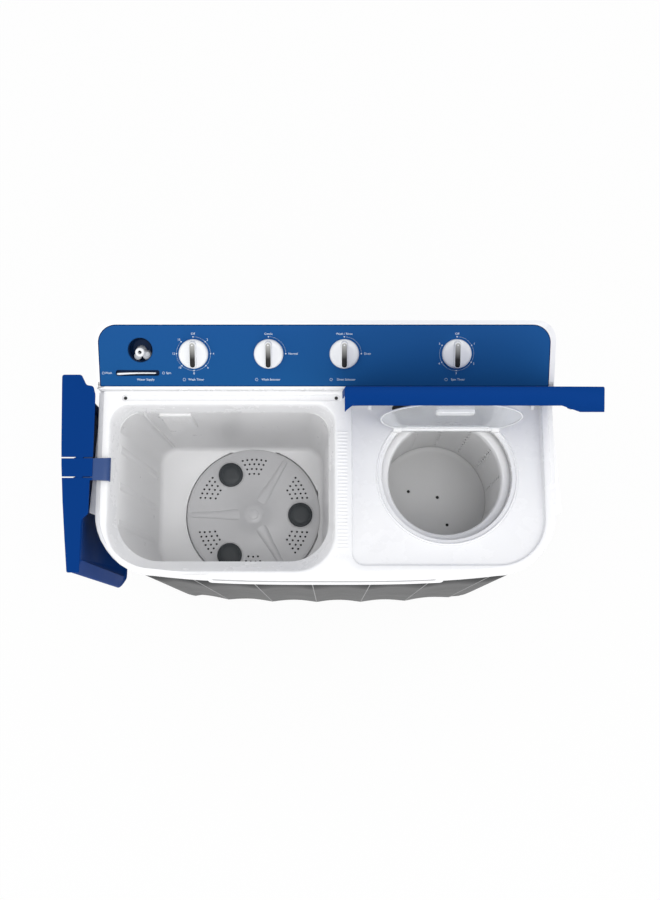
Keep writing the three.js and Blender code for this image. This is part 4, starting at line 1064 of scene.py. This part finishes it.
def make_lid_bracket():
    """Tab that hooks the hung lid over the rim, with a curled inner lip."""
    middle = 936
    section = [(-476.5, 939.2), (-470, 939.8), (-452, 941.0), (-444, 941.0), (-439.6, 939.4),
               (-437.4, middle), (-437, 930.6), (-439.4, 930.6), (-440.4, 934.4), (-444, 936.4),
               (-452, 936.6), (-470, 935.6), (-476.5, 935.2)]
    flare = {-437.4: 1.6, -437: 2.2, -439.6: 1.0, -439.4: 2.2}
    rings = []
    for y, out, k in ((206.6, -1, 0.98), (207.6, -1, 1.0), (230, 0, 1.0), (250.4, 1, 1.0), (251.4, 1, 0.98)):
        rings.append([Vector((x, y + out * flare.get(x, 0), middle + (z - middle) * k)) for x, z in section])
    bm = bmesh.new()
    sweep(bm, rings, True, True)
    for low, high in ((211.5, 213.3), (251.7, 253.5)):
        lie_back = Matrix.Rotation(math.radians(-90), 4, "X")
        along = Matrix.Translation((WASH_PIVOT.x, low, WASH_PIVOT.z)) @ lie_back
        before = set(bm.verts)
        turned(bm, [(3, 0), (5, 0), (5, high - low), (3, high - low), (3, 0)], 0, 0, 24)
        bmesh.ops.transform(bm, matrix=along, verts=[v for v in bm.verts if v not in before])
        box(bm, -504, -474, low, high, 934.6, 937.6)
    # The tab's greyer blue is painted sheen.
    piece("wash_lid_bracket_tab", bm, TAB_PAINTED_SHEEN, replaces=["wash_lid_bracket"], sharp=50)


# ---- spin lid and inner cover --------------------------------------------------------------------
def make_spin_lid():
    """Built closed with the hinge at the origin, then stood up."""
    left, right, length, back = 34.0, 486.0, 387.0, 5.0
    lugs = ((424.5, 435.5), (86.5, 97.5))

    def plan(g):
        """Outline with a notch for each hinge lug, cut fine enough along its front and sides to be bent."""
        corners = [(left + g, -length + g, 1.5), (425, -length + g, 60), (right - g, 18 - length + g, 16),
                   (right - g, back - g, 2)]
        for a, b in lugs:
            corners += [(b + g, back - g, 1), (b + g, -9.5 - g, 1), (a - g, -9.5 - g, 1),
                        (a - g, back - g, 1)]
        corners.append((left + g, back - g, 2))
        points = outline(corners, 8)
        full = []
        for a, b in zip(points, points[1:] + points[:1]):
            full.append(a)
            if abs(a.y - b.y) < 0.01 and a.y < -300 and b.x - a.x > 100:
                full += [a.lerp(b, k / 30) for k in range(1, 30)]
            elif abs(a.x - b.x) < 0.01 and abs(a.y - b.y) > 200:
                full += [a.lerp(b, k / 12) for k in range(1, 12)]
        return [Vector((p.x, p.y + 0.8 * bow(p.x) * min(1, max(0, -p.y) / length), 0)) for p in full]

    def skirt(p):
        """How far down the skirt comes: deeper at the front corners, shallow on the left, none behind."""
        if p.y > -4:
            return 2.5
        if p.x > 484:
            return -33 + 28 * max(0.0, (p.y + 60) / 60)
        if p.x < left + 2 and p.y > -length + 1.2:
            return -6 - 5 * min(1, (p.y + length) / 360)
        if -12 < p.y:
            return 2.5
        if p.x < left + 13:
            return -27 - 10 * (left + 13 - p.x) / 13
        return -27 if p.x < 414 else -27 - 11 * min(1, (p.x - 414) / 20)

    def field(g):
        return outline([(52 + g, -364 + g, 16), (400, -364 + g, 50), (462 - g, -330 + g, 30),
                        (462 - g, -38 - g, 14), (52 + g, -38 - g, 14)], 8)
    bm = bmesh.new()
    outer = sweep(bm, stack(plan, [(0, skirt), (0, 2.6), (0.5, 4.4), (1.6, 5.5), (3.2, 6.0)]))[1]
    inner = sweep(bm, stack(field, [(0, 6), (1.2, 5.4), (2.4, 4.4)]), close_last=True)[0]
    fill_between(bm, outer, inner)
    piece("spin_lid_shell", bm, LID_BLUE, "spin_lid", ["spin_lid"], matrix=SPIN_STANDING,
          wall=2.2)

    bm = bmesh.new()
    for x in (110, 186, 262, 338, 414):
        box(bm, x - 1, x + 1, -356, -46, 0.6, 3.2)
    for y in (-300, -200, -100):
        box(bm, 60, 456, y - 1, y + 1, 0.9, 3.2)
    piece("spin_lid_under_ribs", bm, LID_BLUE, "spin_lid", matrix=SPIN_STANDING, soften=0.4)

    bm = bmesh.new()
    for x in (98, 416):
        across = Matrix.Translation((x, 0, 0)) @ Matrix.Rotation(math.radians(90), 4, "Y")
        before = set(bm.verts)
        turned(bm, [(3.3, 0), (6, 0), (6, 8), (3.3, 8), (3.3, 0)], 0, 0, 24)
        bmesh.ops.transform(bm, matrix=across, verts=[v for v in bm.verts if v not in before])
        box(bm, x, x + 8, -10, -3.5, 0, 4)
    piece("spin_lid_ears", bm, LID_BLUE, "spin_lid", matrix=SPIN_STANDING)


def make_inner_cover():
    """Clear cover with a white rim, a hinge bar, a finger grip and vent holes."""
    cx = SPIN[0]
    cy = SPIN[1] - COVER_PIVOT.y
    lift = math.asin((-cy - 8) / 140)
    vents = [(cx - 21, -58), (cx - 3, -58), (cx + 15, -58), (cx - 9, -34), (cx + 7, -34), (cx + 25, -34),
             (cx - 3, -140), (cx + 13, -140), (cx - 19, -140)]

    def shape(r):
        return cut_circle(cx, cy, r, lift, 16)
    bm = bmesh.new()
    outer = sweep(bm, stack(shape, [(137.4, 0.7), (137.2, 2.0)]))[1]
    holes = [sweep(bm, discs(vent, [(2.8, 2.0), (2.8, 0.7)], 16))[0] for vent in vents]
    fill_between(bm, outer, *holes)
    piece("inner_cover_clear", bm, CLEAR, "spin_inner_cover", ["spin_inner_cover"],
          matrix=COVER_STANDING, wall=1.2)

    bm = bmesh.new()
    sweep(bm, stack(shape, [(137.2, 0.2), (139.2, -0.6), (140.2, 0.2), (140.4, 1.6), (139.8, 2.8),
                            (138.4, 3.3), (137.0, 2.8), (136.8, 1.4), (137.2, 0.2)]))
    for hx, hy in vents:
        turned(bm, [(2.9, 2.5), (4.0, 2.7), (4.4, 2.1), (2.9, 2.1), (2.9, 2.5)], hx, hy, 16)
    piece("inner_cover_rim", bm, COVER_RIM, "spin_inner_cover", matrix=COVER_STANDING)

    bm = bmesh.new()
    turned(bm, [(0, -96), (3.6, -95.4), (4.4, -94), (4.4, 94), (3.6, 95.4), (0, 96)], 0, 0, 24)
    bm.transform(Matrix.Translation((cx, 0, 0)) @ Matrix.Rotation(math.radians(90), 4, "Y"))
    slab(bm, box_outline(cx - 86, cx + 86, -13, 0, 3), -1.4, 3.6)
    piece("inner_cover_hinge_bar", bm, COVER_RIM, "spin_inner_cover", matrix=COVER_STANDING,
          soften=0.9)

    bm = bmesh.new()
    handle = [(37, 3, 2), (37, 3, -4.4), (35.6, 1.6, -5.6), (33, -1, -5.6), (33, -1, 2)]
    sweep(bm, [at_height(box_outline(cx - w, cx + w, -176 - h, -156 + h, 6, 5), z) for w, h, z in handle])
    slab(bm, box_outline(cx - 26, cx + 26, -229, -225, 1.6), 1, 13.6)
    piece("inner_cover_grip", bm, COVER_RIM, "spin_inner_cover", matrix=COVER_STANDING,
          soften=0.5)

    seat_y = COVER_PIVOT.y
    for x, side in ((148, "left"), (350, "right")):
        bm = bmesh.new()
        turned(bm, [(0, -9), (5.6, -8.4), (6.8, -7), (6.8, 7), (5.6, 8.4), (0, 9)], 0, 0, 24)
        bm.transform(Matrix.Translation((x, seat_y, 914.6)) @ Matrix.Rotation(math.radians(90), 4, "Y"))
        box(bm, x - 9, x + 9, 311, 324, deck_z(COVER_PIVOT) - 1, 914)
        piece(f"cover_hinge_seat_{side}", bm, WHITE, soften=1.2)


make_camera()
make_cabinet()
make_top_frame()
make_wash_tub()
make_tub_details()
make_pulsator()
make_basket()
make_console()
make_wash_lid()
make_lid_bracket()
make_spin_lid()
make_inner_cover()

# ---- finishes of the nodes that show as they are ---------------------------------------------------
NODE_FINISH = {
    WHITE: ["wash_timer", "spin_timer", "drain_valve_body"],
    TUB: ["spin_outer_tub", "drain_valve_stem"],
    LID_BLUE: ["wash_lid", "spin_lid", "wash_lid_bracket"],
    # The inlet box takes the recess's painted shade.
    RECESS_PAINTED_SHADE: ["water_inlet_box"],
    CAP: ["drain_cam", "wash_selector_switch", "pulsator_pulley", "motor_pulley"],
    STEEL: ["pulsator_shaft", "wash_motor_shaft", "spin_shaft", "brake_lever", "brake_drum",
            "spin_motor_plate", "wash_motor_bracket", "wash_lid_pin", "spin_lid_pin_left",
            "spin_lid_pin_right"],
    MOTOR: ["wash_motor", "spin_motor", "bearing_housing", "capacitor"],
    RUBBER: ["drive_belt", "spin_bellows", "spin_damper_1", "spin_damper_2", "spin_damper_3",
             "wash_drain_hose", "spin_drain_hose", "drain_pipe", "cord_gland",
             "foot_front_left", "foot_front_right", "foot_back_left", "foot_back_right"],
    BASE: ["base_tray"],
    CLEAR: ["spin_inner_cover"],
}
for material, names in NODE_FINISH.items():
    for name in names:
        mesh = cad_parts[name].data
        mesh.materials.clear()
        mesh.materials.append(material)


# ---- stage ---------------------------------------------------------------------------------------
def seen_directly(tree):
    """1 for rays from the camera, off a gloss or through clear plastic, and 0 for all others."""
    path = node(tree, "ShaderNodeLightPath")
    total = path.outputs["Is Camera Ray"]
    for kind in ("Is Glossy Ray", "Is Transmission Ray"):
        both = node(tree, "ShaderNodeMath", operation="ADD", use_clamp=True)
        tree.links.new(total, both.inputs[0])
        tree.links.new(path.outputs[kind], both.inputs[1])
        total = both.outputs[0]
    return total


def make_stage():
    """Pale floor that stays nearly white around the machine and keeps a soft shadow."""
    bm = bmesh.new()
    bmesh.ops.create_grid(bm, x_segments=1, y_segments=1, size=30)
    mesh = bpy.data.meshes.new("floor")
    bm.to_mesh(mesh)
    bm.free()
    floor = add_object("floor", mesh)
    material = bpy.data.materials.new("pale_floor")
    material.use_nodes = True
    tree = material.node_tree
    out = tree.nodes["Material Output"]
    tree.nodes.remove(tree.nodes["Principled BSDF"])
    diffuse = node(tree, "ShaderNodeBsdfDiffuse", Color=(0.8, 0.8, 0.8, 1))
    glow = node(tree, "ShaderNodeEmission", Strength=1.0)
    share = node(tree, "ShaderNodeMath", operation="MULTIPLY")
    share.inputs[1].default_value = 0.93
    mix = node(tree, "ShaderNodeMixShader")
    tree.links.new(seen_directly(tree), share.inputs[0])
    tree.links.new(share.outputs[0], mix.inputs[0])
    tree.links.new(diffuse.outputs[0], mix.inputs[1])
    tree.links.new(glow.outputs[0], mix.inputs[2])
    tree.links.new(mix.outputs[0], out.inputs["Surface"])
    mesh.materials.append(material)


def soft_light(name, location, target, size, power):
    light = add_object(name, bpy.data.lights.new(name, "AREA"))
    light.data.shape = "DISK"
    light.data.size = size
    light.data.energy = power
    light.location = location
    direction = Vector(target) - Vector(location)
    light.rotation_mode = "QUATERNION"
    light.rotation_quaternion = direction.to_track_quat("-Z", "Y")


def make_light():
    """Even studio light from above, with the surroundings dimmer to light than they look."""
    world = bpy.data.worlds.new("studio")
    world.use_nodes = True
    bpy.context.scene.world = world
    tree = world.node_tree
    back = tree.nodes["Background"]
    back.inputs["Color"].default_value = (1, 1, 1, 1)
    strength = node(tree, "ShaderNodeMapRange")
    strength.inputs["To Min"].default_value = 0.78
    strength.inputs["To Max"].default_value = 1.0
    tree.links.new(seen_directly(tree), strength.inputs["Value"])
    tree.links.new(strength.outputs["Result"], back.inputs["Strength"])
    sky = add_object("overhead_sun", bpy.data.lights.new("overhead_sun", "SUN"))
    sky.data.energy = 0.78
    sky.data.angle = math.radians(28)
    sky.rotation_euler = (math.radians(10), math.radians(4), 0)
    soft_light("left_box", (-2.6, -1.6, 2.4), (0, 0, 0.9), 1.8, 14)
    soft_light("front_box", (0.8, -3.2, 1.6), (0, 0, 0.6), 2.0, 12)
    soft_light("right_box", (1.5, -0.9, 2.5), (-0.35, 0, 0.7), 1.4, 8)


make_stage()
make_light()
bpy.context.scene.view_settings.view_transform = "Standard"
